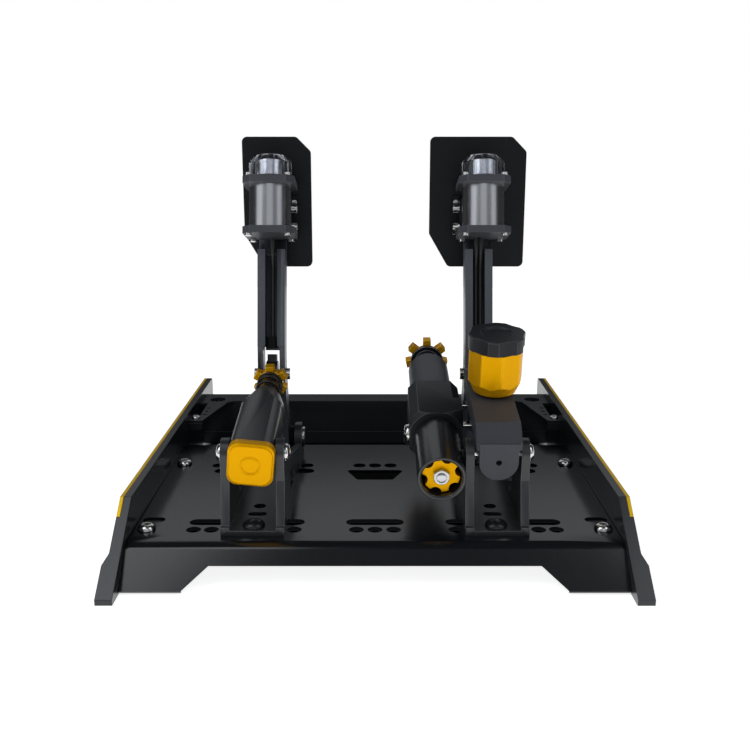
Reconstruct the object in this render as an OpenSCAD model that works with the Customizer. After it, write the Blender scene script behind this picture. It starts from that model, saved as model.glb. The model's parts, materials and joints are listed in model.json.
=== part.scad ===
// Two-pedal sim racing set on one low base: a throttle with a spring strut, and a brake
// with a master cylinder, a fluid reservoir and a slave cylinder beside it.
// X runs across the set, +Y points to the driver, +Z is up and the floor is Z = 0.

/* [Base frame] */
// Clear width between the side rails
base_w = 380; // [360:2:410]
// Length of the side rails
rail_len = 451; // [445:1:475]
// Height of the side rails
rail_h = 57; // [54:1:62]
// Thickness of the side rails
rail_t = 9; // [7:0.5:12]
// How far the foot of a rail stands out past its wall
foot_out = 4; // [2:0.5:8]
// Height of the foot of a rail
foot_h = 21; // [14:1:24]
// Run of the sloped near end of a rail
rail_slope_run = 70.5; // [55:0.5:85]
// Height of the blunt near end of a rail
rail_nose_h = 4.5; // [3:0.5:8]
// Thickness of the trim strip let into the rail
trim_t = 3; // [2:0.5:4]
// Height of the trim strip
trim_h = 11; // [7:0.5:14]
// Width of the ledge that carries the plate
ledge_w = 22; // [20:1:26]
// Thickness of the ledge
ledge_t = 4; // [3:0.5:7]
// Height of the base plate's top face
plate_top = 30; // [28:0.5:33]
// Sheet thickness of the base plate
plate_t = 3; // [2:0.5:4]
// Length of the flat of the base plate
plate_len = 238.5; // [234:0.5:242]
// Distance from the rail's near end to the bend of the plate
plate_setback = 43; // [38:0.5:48]
// Run of the sloped skirt below the bend
skirt_run = 27; // [22:0.5:31]
// Height of the skirt's lower edge above the floor
skirt_low = 3; // [2:0.5:6]
// Height of the lower edge of the skirt in the middle
skirt_mid = 17; // [12:0.5:20]
// Width of a skirt tab at its foot
skirt_tab = 46; // [35:0.5:60]
// Width of the slanted side of a skirt tab
skirt_tab_slant = 19; // [12:0.5:28]

/* [Plate pattern] */
// Diameter of the plate's adjustment holes
plate_hole_d = 11.5; // [10.5:0.5:13]
// Width of the plate's long slots
plate_slot_w = 12; // [8:0.5:13]
// Length of a long slot under a pedal
long_slot = 92; // [70:1:100]
// Length of the slot between the pedals
mid_slot = 46; // [30:0.5:60]
// Pitch of the holes in the middle rows
hole_pitch = 14.6; // [13.5:0.1:17]
// Distance from a row of holes to its row of slots
row_gap = 15.2; // [14:0.1:18]
// Length of the rig slots at the plate's near corners
rig_slot = 18; // [14:0.5:20]
// Width of the rig slots
rig_slot_w = 10; // [8:0.5:11]
// Distance of a rig slot from the rail's inner face
rig_inset = 12; // [11:0.5:14]

/* [Heel rest] */
// Height of the heel rest's top
heel_top = 50; // [46:0.5:53]
// Depth of the heel rest from its upright face to the rail's far end
heel_depth = 76.5; // [70:0.5:85]
// Depth of the flat top of the heel rest
heel_flat = 29; // [22:1:32]
// Sheet thickness of the heel rest
heel_t = 3; // [2:0.5:4]
// Height of the lower edge of the upright face
heel_low = 15.7; // [12:0.1:20]
// Height of the toe of the ramp
heel_toe = 8; // [7:0.5:12]
// Distance of the ramp's toe from the rail's far end
heel_toe_in = 8.5; // [3:0.5:12]
// Reach of a corner gusset towards the pedals
gusset_len = 74; // [60:0.5:78]
// Width of a gusset at its root
gusset_root = 30; // [28:0.5:36]
// Width of a gusset at its tip
gusset_tip = 14.4; // [13.4:0.2:20]
// Width of the gap between a gusset and the rail
gusset_gap = 9; // [8:0.5:9.5]
// Length of the tab by which a gusset's tip reaches the rail
gusset_tab = 18; // [17:0.5:20]
// Diameter of the round hole at a gusset's root
gusset_hole_d = 16.6; // [10:0.2:20]
// Thickness of the crossbar under the heel rest
crossbar_t = 6; // [4:0.5:10]

/* [Pedal bracket] */
// Distance of each pedal's centre line from the middle
pedal_x = 95; // [93:0.5:100]
// Width of a pedal bracket
bracket_w = 49.5; // [48:0.1:50.2]
// Thickness of a bracket cheek
cheek_t = 6.6; // [5:0.1:7.5]
// Thickness of the bracket floor
floor_t = 3.5; // [2.5:0.5:5]
// Length of a pedal bracket
bracket_len = 210; // [206:1:216]
// Distance from the plate's bend to the bracket's near end
bracket_setback = 14.5; // [12:0.5:17]
// Height of the strut trunnion above the plate
trunnion_h = 60; // [57:0.5:63]
// Distance from the rod pin back to the trunnion
trunnion_back = 150; // [147:0.5:153]
// Radius of the ear round the trunnion
trunnion_ear_r = 11.5; // [10:0.5:12.5]
// Height of the pedal pivot above the plate
pivot_h = 18; // [17.5:0.5:22]
// Radius of the ear round the pedal pivot
pivot_ear_r = 14; // [12:0.5:14]
// Radius of the pivot pin
pivot_r = 6; // [4:0.5:7]

/* [Pedal arm] */
// Width of a pedal arm
arm_w = 25; // [24:0.5:26]
// Width of the channel in the arm's front
channel_w = 11; // [10.5:0.5:12]
// Depth of the arm from front to back
arm_d = 20; // [18:0.5:24]
// Depth of the arm's channel
channel_d = 15; // [12:0.5:16]
// Thickness of a fork plate
fork_t = 5; // [4:0.25:5.25]
// Lean of the upper arm towards the driver
arm_lean = 14.5; // [13:0.5:16]
// Height of the rod pin above the pivot
rod_pin_up = 68.5; // [65:0.5:71]
// Offset of the rod pin from the pivot towards the strut
rod_pin_fwd = 24; // [21:0.5:27]
// Length of the fluted part of the arm above the rod pin
flute_len = 113.8; // [106:0.2:116]
// Thickness of the arm's upper tongue
tongue_t = 8; // [7:0.5:9]
// Length of the arm above the rod pin
arm_len = 176; // [170:1:178]
// Radius of the rod pin
rod_pin_r = 4; // [3:0.25:4.5]

/* [Pads] */
// Height of both pads
pad_h = 121; // [110:1:130]
// Width of the throttle pad
throttle_pad_w = 64; // [60:1:80]
// Width of the brake pad
brake_pad_w = 90; // [80:1:100]
// Thickness of the pads
pad_t = 4; // [3:0.5:6]
// Height of a pad's lower edge above the floor
pad_low = 209; // [205:1:213]
// Thickness of the pad bracket's sheet
pad_bracket_t = 4; // [3:0.25:4.5]

/* [Haptic motor] */
// Diameter of the motor can
can_d = 38; // [34:0.2:39]
// Wall of the motor can
can_wall = 3; // [2:0.25:4]
// Length of the can between its clamps
can_len = 38.7; // [34:0.1:42]
// Width of a motor clamp
clamp_w = 46; // [45:0.5:50]
// Thickness of a motor clamp
clamp_t = 6.3; // [5:0.1:8]
// Height of the lower clamp above the rod pin
clamp_up = 124.4; // [122:0.2:127]
// Distance of the motor's axis from the arm's tongue
motor_out = 21; // [20.5:0.5:24]
// Diameter of the clear cap
cap_d = 39.4; // [37:0.2:42]
// Height of the clear cap
cap_h = 21; // [18:0.5:25]

/* [Throttle strut] */
// Width of the strut body
strut_w = 35; // [34.8:0.1:37]
// Width of the strut body between the cheeks
strut_flat_w = 34; // [31:0.2:34.6]
// Length of the strut body past the trunnion
strut_len = 92; // [86:0.5:95]
// Length of the strut body before the trunnion
strut_tail = 13; // [11:0.5:18]
// Length of the strut body's tapered far end
strut_taper = 30; // [20:1:34]
// Radius of the strut body's far end
strut_nose_r = 14; // [13:0.25:16]
// Width of the end cap
end_cap_w = 36; // [33:0.5:38]
// Thickness of the end cap
end_cap_t = 9; // [7:0.5:14]
// Turn of the end cap on its thread
end_cap_turn = 6; // [0:1:10]
// Radius of the strut rod
rod_r = 5; // [4:0.25:6]
// Wire diameter of the spring
wire_d = 2.6; // [1.8:0.1:3]
// Outer diameter of the spring
spring_d = 23.6; // [21:0.2:26]
// Turns of the spring
spring_turns = 4.5; // [3.5:0.5:5.5]
// Length of the spring at rest
spring_len = 38.7; // [35:0.1:40]
// Radius of the preload knob over its teeth
preload_r = 15.5; // [14:0.1:16.5]
// Thickness of the preload knob
preload_t = 9; // [6:0.5:10]

/* [Brake cylinders] */
// Width of the master block's upper half
master_w = 35; // [32:0.5:35.5]
// Radius of the master block's rounded belly
belly_r = 15; // [13.5:0.25:16]
// Height of the master block over its axis
master_up = 26.4; // [24:0.2:30]
// Length of the master block past the trunnion
master_len = 100; // [95:0.5:104]
// Radius of the master cylinder's bore
master_bore_r = 9; // [7:0.25:10]
// Distance of the reservoir from the trunnion
reservoir_s = 56; // [52:0.5:62]
// Sideways offset of the reservoir
reservoir_x = 3; // [0:0.5:4]
// Diameter of the reservoir under its cap
reservoir_d = 44.6; // [40:0.2:48]
// Height of the reservoir cup
reservoir_h = 36.6; // [28:0.2:40]
// Diameter of the reservoir cap
lid_d = 47; // [45:0.2:52]
// Height of the reservoir cap
lid_h = 12.2; // [9:0.2:14]
// Distance of the slave cylinder's axis from the pedal's centre line
slave_off = 44; // [43.8:0.1:45]
// Drop of the slave cylinder's axis below the master's
slave_drop = 10.4; // [9:0.2:12]
// Outer diameter of the slave tube
tube_d = 37.4; // [34:0.2:37.6]
// Wall of the slave tube
tube_wall = 3.1; // [2:0.1:3.3]
// Length of the slave tube
tube_len = 70; // [68:0.5:76]
// Diameter of the slave's nose
slave_w = 37.4; // [35:0.2:37.6]
// Length of the slave block
slave_len = 65; // [60:0.5:74]
// Width and height of the slave block
block_w = 44; // [42:0.5:45]
// Length of the slave's nose cone
nose_len = 77; // [64:0.5:80]
// Radius of the damping knob over its blocks
damping_r = 20.5; // [19:0.25:22]

/* [Fasteners] */
// Head radius of the bracket bolts
bolt_head_r = 8.75; // [8:0.25:9.5]
// Shank radius of the bracket bolts
bolt_r = 5; // [4:0.25:5.2]
// Head radius of the plate and trunnion screws
screw_head_r = 7.25; // [6:0.25:8]
// Shank radius of the plate and trunnion screws
screw_r = 4; // [3:0.25:4.5]

/* [Fits] */
// Running clearance of a pin or shaft
run_fit = 0.1; // [0.02:0.01:0.1]
// Clearance between pieces that move past each other
move_gap = 0.4; // [0.3:0.05:0.5]
// Clearance of the rod eye on its pin
eye_gap = 0.8; // [0.7:0.05:1]

/* [Hidden] */
$fn = 48;

black = [0.09, 0.09, 0.1];
grey = [0.2, 0.2, 0.22];
gold = [0.9, 0.66, 0.05];
chrome = [0.8, 0.8, 0.82];
rubber = [0.05, 0.05, 0.05];
clear_blue = [0.75, 0.78, 0.9, 0.5];
board_green = [0.05, 0.25, 0.12];

// Overshoot of a cutting solid past the face it opens
cut = 1;
left = -1;
right = 1;

// Base frame
half_w = base_w / 2;
near_y = -rail_len / 2;
far_y = rail_len / 2;
plate_low = plate_top - plate_t;
bend_y = near_y + plate_setback;
plate_far = bend_y + plate_len;
skirt_angle = atan2(plate_top - skirt_low, skirt_run);
plate_gap = 0.2;
ledge_near = bend_y + 4;
corner_screw_near = bend_y + 26.5;
corner_screw_far = plate_far - 58;
corner_screw_x = half_w - 10.5;
screw_head_h = 4.4;
rig_y = bend_y + 45.5;
rig_x = half_w - rig_inset;

// Pedal bracket, all places in the plane of a pedal's centre line
bracket_near = bend_y + bracket_setback;
bracket_far = bracket_near + bracket_len;
cheek_in = bracket_w / 2 - cheek_t;
P = [bracket_far - 14, plate_top + pivot_h];
C = [P[0] - rod_pin_fwd, P[1] + rod_pin_up];
T = [C[0] - trunnion_back, plate_top + trunnion_h];
end_cap_room = 1.6;
rod_slope = atan2(C[1] - T[1], C[0] - T[0]);
rod_len = norm(C - T);
near_row = bracket_near + 11;
far_row = P[0] - 33.5;
trunnion_head_h = 4;
trunnion_reach = 8;
cheek_foot_h = 6;
cheek_foot_out = 4;
bolt_head_h = 5;

// Heel rest
heel_y = far_y - heel_depth;
heel_slope = atan2(heel_top - heel_toe, heel_depth - heel_flat - heel_toe_in);
heel_lug_y = heel_y - gusset_len + 9;
heel_screw_r = 2.5;
heel_screw_head_r = 4.5;
heel_screw_in = 6.3;
lug_w = 14;
lug_len = 18;
lug_t = 7;

// Pedal arm, in the arm's own frame at the rod pin
arm_front = 6.1 - arm_d;
arm_back = arm_front + arm_d;
tongue_front = arm_back + 1 - tongue_t;
tongue_back = tongue_front + tongue_t;
fork_top = 25.8;
fork_r = 11.5;
hub_r = 13;
bush_r = 8;
bush_flange_r = 10.5;
web_low = 21.8;
motor_y = tongue_front - motor_out;
clamp_front = motor_y - clamp_w / 2;
clamp_top = clamp_up + 2 * clamp_t + can_len;
clamp_chamfer = 7;
clamp_bolt = clamp_w / 2 - 5.5;
clamp_bolt_r = 2;
clamp_pocket = clamp_t / 2;
clamp_bolt_len = clamp_t - 1.5;
clamp_head_h = 2.5;
cross_screws = [136.3, 153.8];
cross_screw_r = 2.5;
cross_head_r = 5;
cross_head_h = 6;
pin_head_h = 4;
lead_d = 3.6;

// Pads, upright, just behind the arm's tongue
pad_clear = 3;
pad_y = C[0] + arm_len * sin(arm_lean) + tongue_back * cos(arm_lean) + pad_clear;
pad_bracket_z = [pad_low + 27, pad_low + 67];
pad_bracket_w = 44;
pad_screw_x = 19.2;
pad_screw_r = 2.5;
throttle_pad_shift = 3;
brake_pad_shift = 1.5;
brake_motor_shift = 3;

// Throttle strut, measured along its axis from the trunnion
flat_end = 60;
strut_soft = 9;
strut_corner = (strut_w / 2 - strut_soft) * sqrt(2) + strut_soft;
cavity = [6, 78];
cavity_r = 12;
piston_s = 40;
knob_s = strut_len + spring_len + 0.3;
eye_r = 12;
eye_w = channel_w - 0.5;
eye_top = 18;

// Brake cylinders
master_tail = 17;
front_up = 15;
waist_up = 10;
slave_start = -24;
nose_end = tube_len + slave_len + nose_len;
stud_r = 4;
index_t = 4;
index_r = 16;
index_neck = 16;
index_neck_r = 12;
index_end = nose_end + index_neck + index_t;
stem_r = 7;
damping_t = 10.5;
damping_block = 7.5;
damping_root = 12.5;
block_chamfer = 7;
block_chamfer_low = 10;
block_break = 0.8;
block_lug_len = 30;
stack_r = 12;
stack_s = 15.6;
stack_gap = 0.3;
stack_n = 4;
ram_t = 9;
ram_room = 5.4;
stack_disc = (tube_len - stack_s - ram_t - ram_room) / stack_n - stack_gap;
stud_near = 0.6;
stud_far = 12;
lock_nut_s = 2.5;
lock_nut_h = 3.4;
lock_nut_r = 6.8;
slave_knob_s = 6.2;
slave_knob_t = 9;
slave_knob_r = 14.8;
slave_notches = 6;
slave_notch_turn = 14;
slave_notch_at = 15.8;
slave_notch_r = 4.8;
side_bolt_s = 19;
side_bolt_n = -7;
side_bolt_r = 5;
side_bolt_len = 8;
side_head_r = 8.5;
side_head_h = 4.5;
side_key_r = 3.4;
cross_bolt_r = 3;
cross_bolt_deep = 6;
master_piston_near = 62;
master_piston_far = 84;

// Unit vector of a 2-D vector
function unit(v) = v / norm(v);
// Points of a rounded corner at b between a and c, with radius r
function corner(a, b, c, r, n) =
    let (u = unit(a - b), w = unit(c - b), half = acos(u * w) / 2,
         m = b + unit(u + w) * r / sin(half), from = b + u * r / tan(half), to = b + w * r / tan(half),
         a0 = atan2(from[1] - m[1], from[0] - m[0]), a1 = atan2(to[1] - m[1], to[0] - m[0]),
         turn = (a1 - a0 + 540) % 360 - 180)
    [for (i = [0:n]) m + r * [cos(a0 + turn * i / n), sin(a0 + turn * i / n)]];
// A polygon with every corner rounded
function rounded(pts, r, n = 6) =
    [for (i = [0:len(pts) - 1])
        each corner(pts[(i + len(pts) - 1) % len(pts)], pts[i], pts[(i + 1) % len(pts)], r, n)];
// A point of the arm's frame in the pedal's plane
function arm_point(y, z) =
    [C[0] + y * cos(arm_lean) + z * sin(arm_lean), C[1] - y * sin(arm_lean) + z * cos(arm_lean)];

// Frames and simple prisms
module strut_frame() {
    translate([0, T[0], T[1]]) rotate([rod_slope, 0, 0]) children();
}
module arm_frame() {
    translate([0, C[0], C[1]]) rotate([-arm_lean, 0, 0]) children();
}
module slave_frame() {
    pedal(right) strut_frame() translate([-slave_off, slave_start, -slave_drop]) children();
}
module pedal(side) {
    translate([side * pedal_x, 0, 0]) children();
}
module prism_x(x0, x1) {
    translate([x0, 0, 0]) rotate([90, 0, 90]) linear_extrude(x1 - x0) children();
}
module prism_y(y0, y1) {
    translate([0, y1, 0]) rotate([90, 0, 0]) linear_extrude(y1 - y0) children();
}
module rod_x(x0, x1, r) {
    translate([x0, 0, 0]) rotate([0, 90, 0]) cylinder(h = x1 - x0, r = r);
}
module rod_y(y0, y1, r) {
    translate([0, y0, 0]) rotate([-90, 0, 0]) cylinder(h = y1 - y0, r = r);
}
module slot_z(length, width, z0, z1) {
    translate([0, 0, z0]) linear_extrude(z1 - z0) slot_2d(length, width);
}
module slot_2d(length, width) {
    square([length - width, width], center = true);
    for (s = [left, right]) translate([s * (length - width) / 2, 0]) circle(d = width);
}
module soft_square(w, h, r) {
    square([w - 2 * r, h], center = true);
    square([w, h - 2 * r], center = true);
    for (x = [left, right], y = [left, right])
        translate([x * (w / 2 - r), y * (h / 2 - r)]) circle(r = r);
}
module button_screw(head_r, head_h, shank_r, shank_len, key_r) {
    difference() {
        union() {
            cylinder(h = head_h, r1 = head_r, r2 = head_r * 0.62);
            translate([0, 0, -shank_len]) cylinder(h = shank_len + head_h / 2, r = shank_r);
        }
        translate([0, 0, head_h * 0.4]) cylinder(h = head_h, r = key_r, $fn = 6);
    }
}
module toothed_disc(body_r, outer_r, teeth, tooth_w) {
    circle(r = body_r);
    for (i = [0:teeth - 1])
        rotate(90 + i * 360 / teeth) translate([0, -tooth_w / 2]) square([outer_r, tooth_w]);
}

// Base plate and rails
module plate_profile() {
    lean = plate_t * tan((90 - (90 - skirt_angle)) / 2);
    polygon([
        [plate_far, plate_top], [bend_y, plate_top], [bend_y - skirt_run, skirt_low],
        [bend_y - skirt_run + plate_t * sin(skirt_angle), skirt_low - plate_t * cos(skirt_angle)],
        [bend_y + lean, plate_low], [plate_far, plate_low]
    ]);
}
module skirt_cut() {
    tab_x = half_w - skirt_tab;
    prism_y(bend_y - skirt_run - cut, bend_y - cut)
        polygon([[-tab_x, -plate_t], [-tab_x, skirt_low], [skirt_tab_slant - tab_x, skirt_mid],
                 [tab_x - skirt_tab_slant, skirt_mid], [tab_x, skirt_low], [tab_x, -plate_t]]);
}
module row_holes(y, outer) {
    for (i = [-1:1])
        translate([i * hole_pitch, y, plate_low - cut]) cylinder(h = plate_t + 2 * cut, d = plate_hole_d);
    for (s = [left, right], dx = outer)
        translate([s * (pedal_x + dx), y, plate_low - cut]) cylinder(h = plate_t + 2 * cut, d = plate_hole_d);
}
module base_plate() color(black) difference() {
    prism_x(plate_gap - half_w, half_w - plate_gap) plate_profile();
    skirt_cut();
    row_holes(near_row, [-31.5, 0, 33.5, 47.5]);
    row_holes(far_row, [-31.5, 0, 51.8]);
    for (y = [near_row + row_gap, far_row - row_gap], s = [left, right])
        translate([s * (pedal_x + 7.3), y, 0]) slot_z(long_slot, plate_slot_w, plate_low - cut, plate_top + cut);
    translate([0, near_row + row_gap, 0]) slot_z(mid_slot, plate_slot_w, plate_low - cut, plate_top + cut);
    translate([0, far_row - row_gap - 10.5, plate_low - cut]) linear_extrude(plate_t + 2 * cut)
        polygon(rounded([[-26.5, 12.8], [26.5, 12.8], [16, -12.8], [-16, -12.8]], 3));
    for (s = [left, right]) {
        translate([s * rig_x, rig_y, 0]) slot_z(rig_slot, rig_slot_w, plate_low - cut, plate_top + cut);
        for (y = [corner_screw_near, corner_screw_far])
            translate([s * corner_screw_x, y, plate_low - cut])
                cylinder(h = plate_t + 2 * cut, r = screw_r + run_fit);
    }
}
module rail_side() {
    polygon([[near_y, 0], [near_y, rail_nose_h], [near_y + rail_slope_run, rail_h], [far_y - 2, rail_h],
             [far_y, rail_h - 2], [far_y, 0]]);
}
module rail_section() {
    out = half_w + rail_t;
    polygon([[half_w, 0], [out + foot_out, 0], [out + foot_out, foot_h],
             [out, foot_h + 1.5 * foot_out], [out, rail_h], [half_w, rail_h]]);
}
module trim_bar(past = 0) {
    out = half_w + rail_t;
    intersection() {
        prism_x(out - trim_t, out + past) rail_side();
        translate([-base_w, near_y - cut, rail_h - trim_h]) cube([2 * base_w, rail_len + 2 * cut, trim_h + cut]);
    }
}
module rail_body() {
    intersection() {
        prism_y(near_y, far_y) rail_section();
        prism_x(half_w - cut, half_w + rail_t + foot_out + cut) rail_side();
    }
    translate([half_w - ledge_w, ledge_near, plate_low - ledge_t])
        cube([ledge_w + cut, plate_far - ledge_near, ledge_t]);
    for (y = [heel_lug_y, heel_y + heel_flat / 2])
        translate([half_w - lug_w, y - lug_len / 2, heel_top - heel_t - lug_t]) cube([lug_w + cut, lug_len, lug_t]);
}
module right_rail_solid() {
    difference() {
        rail_body();
        trim_bar(cut);
        translate([rig_x, rig_y, 0])
            slot_z(rig_slot, rig_slot_w, plate_low - ledge_t - cut, plate_low + cut);
        for (y = [corner_screw_near, corner_screw_far])
            translate([corner_screw_x, y, plate_low - ledge_t - cut])
                cylinder(h = ledge_t + 2 * cut, r = screw_r + run_fit);
        translate([half_w - heel_screw_in, heel_lug_y, heel_top - heel_t - lug_t - cut])
            cylinder(h = lug_t + 2 * cut, r = heel_screw_r + run_fit);
    }
}
module right_rail() color(black) right_rail_solid();
module left_rail() color(black) mirror([1, 0, 0]) right_rail_solid();
module right_rail_trim() color(gold) trim_bar();
module left_rail_trim() color(gold) mirror([1, 0, 0]) trim_bar();
module base_screws() color(chrome) {
    for (s = [left, right]) {
        for (y = [corner_screw_near, corner_screw_far])
            translate([s * corner_screw_x, y, plate_top])
                button_screw(screw_head_r, screw_head_h, screw_r, plate_t + ledge_t, 2.9);
        translate([s * (half_w - heel_screw_in), heel_lug_y, heel_top])
            button_screw(heel_screw_head_r, 2.5, heel_screw_r, heel_t + lug_t, 1.8);
    }
}

// Heel rest
module heel_profile() {
    slim = heel_t * tan(heel_slope / 2);
    toe_y = far_y - heel_toe_in;
    polygon([
        [heel_y, heel_low], [heel_y, heel_top], [heel_y + heel_flat, heel_top], [toe_y, heel_toe],
        [toe_y - heel_t * sin(heel_slope), heel_toe - heel_t * cos(heel_slope)],
        [heel_y + heel_flat - slim, heel_top - heel_t], [heel_y + heel_t, heel_top - heel_t],
        [heel_y + heel_t, heel_low]
    ]);
}
module gusset() {
    edge = half_w - plate_gap;
    tip_y = heel_y - gusset_len;
    translate([0, 0, heel_top - heel_t]) linear_extrude(heel_t)
        polygon([[edge, heel_y + cut], [edge, tip_y], [half_w - gusset_tip, tip_y],
                 [half_w - gusset_root, heel_y - 3.5], [half_w - gusset_root - 6, heel_y],
                 [half_w - gusset_root - 6, heel_y + cut]]);
}
module gusset_holes() {
    translate([half_w - 17.5, heel_y + 6, heel_top - heel_t - cut]) cylinder(h = heel_t + 2 * cut, d = gusset_hole_d);
    for (i = [0:2])
        translate([half_w - gusset_gap - 4, heel_y - 28 - 12.2 * i, 0])
            slot_z(4.6, 3.4, heel_top - heel_t - cut, heel_top + cut);
    translate([half_w - gusset_gap, heel_y - gusset_len + gusset_tab, heel_top - heel_t - cut])
        cube([gusset_gap + cut, gusset_len - gusset_tab - 9, heel_t + 2 * cut]);
    translate([half_w - heel_screw_in, heel_lug_y, heel_top - heel_t - cut])
        cylinder(h = heel_t + 2 * cut, r = heel_screw_r + run_fit);
}
module heel_rest() color(black) difference() {
    union() {
        prism_x(plate_gap - half_w, half_w - plate_gap) heel_profile();
        gusset();
        mirror([1, 0, 0]) gusset();
    }
    gusset_holes();
    mirror([1, 0, 0]) gusset_holes();
}
module heel_crossbar() color(black)
    translate([plate_gap - half_w, heel_y, 1.5]) cube([base_w - 2 * plate_gap, crossbar_t, heel_low - 1.5]);

// Controller under the plate
box = [90, 70, 21];
box_wall = 2;
box_y = near_row + row_gap + 20;
module controller_box() color(black) translate([-box[0] / 2, box_y, plate_low - box[2]]) difference() {
    cube(box);
    translate([box_wall, box_wall, box_wall])
        cube([box[0] - 2 * box_wall, box[1] - 2 * box_wall, box[2] - 2 * box_wall]);
    translate([box[0] / 2 - 6, box[1] - box_wall - cut, 6]) cube([12, box_wall + 2 * cut, 5]);
}
module controller_board() color(board_green)
    translate([box_wall + 1 - box[0] / 2, box_y + box_wall + 1, plate_low - box[2] + box_wall])
    cube([box[0] - 2 * box_wall - 2, box[1] - 2 * box_wall - 2, 1.6]);

// Pedal brackets and what holds them
module cheek_2d() {
    ear = trunnion_ear_r;
    difference() {
        union() {
            polygon([
                [bracket_near, plate_top], [bracket_near, plate_top + cheek_foot_h],
                [bracket_near + cheek_foot_out, plate_top + cheek_foot_h], [T[0] - ear + end_cap_room, T[1] - 20],
                [T[0] - ear, T[1]], [T[0] + ear, T[1]], [T[0] + ear + 4.5, T[1] - 10],
                [P[0] - pivot_ear_r, P[1] - 3.5], [P[0] - pivot_ear_r, P[1]], [P[0] + pivot_ear_r, P[1]],
                [P[0] + pivot_ear_r, plate_top]
            ]);
            translate(T) circle(r = ear);
            translate(P) circle(r = pivot_ear_r);
        }
        polygon(rounded([[T[0] + 32, T[1] - 28], [T[0] + 42, plate_top + 11], [T[0] + 74, plate_top + 9],
                         [T[0] + 74, plate_top + 23]], 3));
        translate(T) circle(r = screw_r + run_fit);
        translate(P) circle(r = pivot_r + run_fit);
    }
}
module pedal_bracket() {
    half = bracket_w / 2;
    difference() {
        union() {
            prism_x(-half, -cheek_in) cheek_2d();
            prism_x(cheek_in, half) cheek_2d();
            translate([-cheek_in - cut, bracket_near, plate_top])
                cube([2 * (cheek_in + cut), bracket_len, floor_t]);
        }
        for (y = [near_row, far_row])
            translate([0, y, plate_top - cut]) cylinder(h = floor_t + 2 * cut, r = bolt_r + run_fit);
        translate([0, near_row + 24, 0]) slot_z(15, 8, plate_top - cut, plate_top + floor_t + cut);
        translate([0, near_row + 41, plate_top - cut]) cylinder(h = floor_t + 2 * cut, r = 5);
    }
}
module throttle_bracket() color(black) pedal(left) pedal_bracket();
module brake_bracket() color(black) pedal(right) pedal_bracket();
module bracket_bolts() color(black) {
    shank = floor_t + plate_t + 8;
    for (s = [left, right], y = [near_row, far_row])
        translate([s * pedal_x, y, plate_top + floor_t]) {
            button_screw(bolt_head_r, bolt_head_h, bolt_r, shank, 3.4);
            translate([0, 0, -shank]) cylinder(h = 8, r = bolt_head_r, $fn = 6);
        }
}
module trunnion_bolts() color(chrome) {
    for (place = [[left, left], [left, right], [right, right]])
        translate([place[0] * pedal_x + place[1] * bracket_w / 2, T[0], T[1]]) rotate([0, place[1] * 90, 0])
            button_screw(screw_head_r, trunnion_head_h, screw_r, bracket_w / 2 - trunnion_reach, 2.9);
    pedal(right) translate([0, T[0], T[1]]) rod_x(-bracket_w / 2, -trunnion_reach, screw_r);
}
module pivot_pin() {
    half = bracket_w / 2;
    translate([0, P[0], P[1]]) {
        rod_x(-half, half + 2.5, pivot_r);
        rod_x(half, half + 2.5, pivot_r + 3.5);
    }
}
module throttle_pivot_pin() color(chrome) pedal(left) pivot_pin();
module brake_pivot_pin() color(chrome) pedal(right) pivot_pin();
module throttle_sensor() color(black) pedal(left) translate([0, P[0], P[1]]) {
    rod_x(-bracket_w / 2 - 9, -bracket_w / 2, pivot_r + 5.5);
    translate([-bracket_w / 2 - 9, -6, -17]) cube([9, 12, 12]);
}

// Pedal arm with its fork at the rod pin
module fork_2d() {
    along = unit(P - C);
    across = [along[1], -along[0]];
    polygon([arm_point(arm_front + 0.5, fork_top), C + (fork_r - 1) * across, P + (hub_r - 1.5) * across,
             P - (hub_r - 1.5) * across, C - (fork_r - 1) * across, arm_point(arm_back - 0.5, fork_top)]);
    translate(C) circle(r = fork_r);
    translate(P) circle(r = hub_r);
}
module pedal_arm() {
    half = arm_w / 2;
    flange = half - channel_w / 2;
    web_y = arm_front + channel_d;
    difference() {
        union() {
            for (s = [left, right]) {
                prism_x(s * (half - fork_t / 2) - fork_t / 2, s * (half - fork_t / 2) + fork_t / 2) fork_2d();
                arm_frame() translate([s * (half - flange / 2) - flange / 2, arm_front, fork_top - cut])
                    cube([flange, arm_d, flute_len - fork_top + cut]);
            }
            translate([0, P[0], P[1]]) rod_x(cut - half, half - cut, hub_r - 1);
            arm_frame() translate([-channel_w / 2 - cut, web_y, web_low])
                cube([channel_w + 2 * cut, arm_back - web_y, flute_len - web_low - cut]);
            arm_frame() translate([-half, tongue_front, flute_len - 4 * cut])
                cube([arm_w, tongue_t, arm_len - flute_len + 4 * cut]);
        }
        translate([0, P[0], P[1]]) rod_x(-half - cut, half + cut, bush_r);
        translate([0, C[0], C[1]]) rod_x(-half - cut, half + cut, rod_pin_r + run_fit);
        arm_frame() for (z = cross_screws)
            translate([0, tongue_front + tongue_t / 2, z]) rod_x(-half - cut, half + cut, cross_screw_r + run_fit);
    }
}
module throttle_arm() color(black) pedal(left) pedal_arm();
module brake_arm() color(black) pedal(right) pedal_arm();
module hub_bushes() {
    hub = arm_w / 2;
    translate([0, P[0], P[1]])
        for (s = [left, right]) rotate([0, 0, s < 0 ? 180 : 0]) difference() {
            union() {
                rod_x(hub - 9, hub, bush_r);
                rod_x(hub, cheek_in - move_gap, bush_flange_r);
            }
            rod_x(hub - 9 - cut, cheek_in + cut, pivot_r + run_fit);
        }
}
module throttle_bushes() color(grey) pedal(left) hub_bushes();
module brake_bushes() color(grey) pedal(right) hub_bushes();
module rod_pin() {
    half = arm_w / 2;
    translate([0, C[0], C[1]]) {
        rod_x(-half - pin_head_h, half + pin_head_h, rod_pin_r);
        for (s = [left, right])
            translate([s * (half + pin_head_h / 2), 0, 0]) rod_x(-pin_head_h / 2, pin_head_h / 2, rod_pin_r + 1.3);
    }
}
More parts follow.
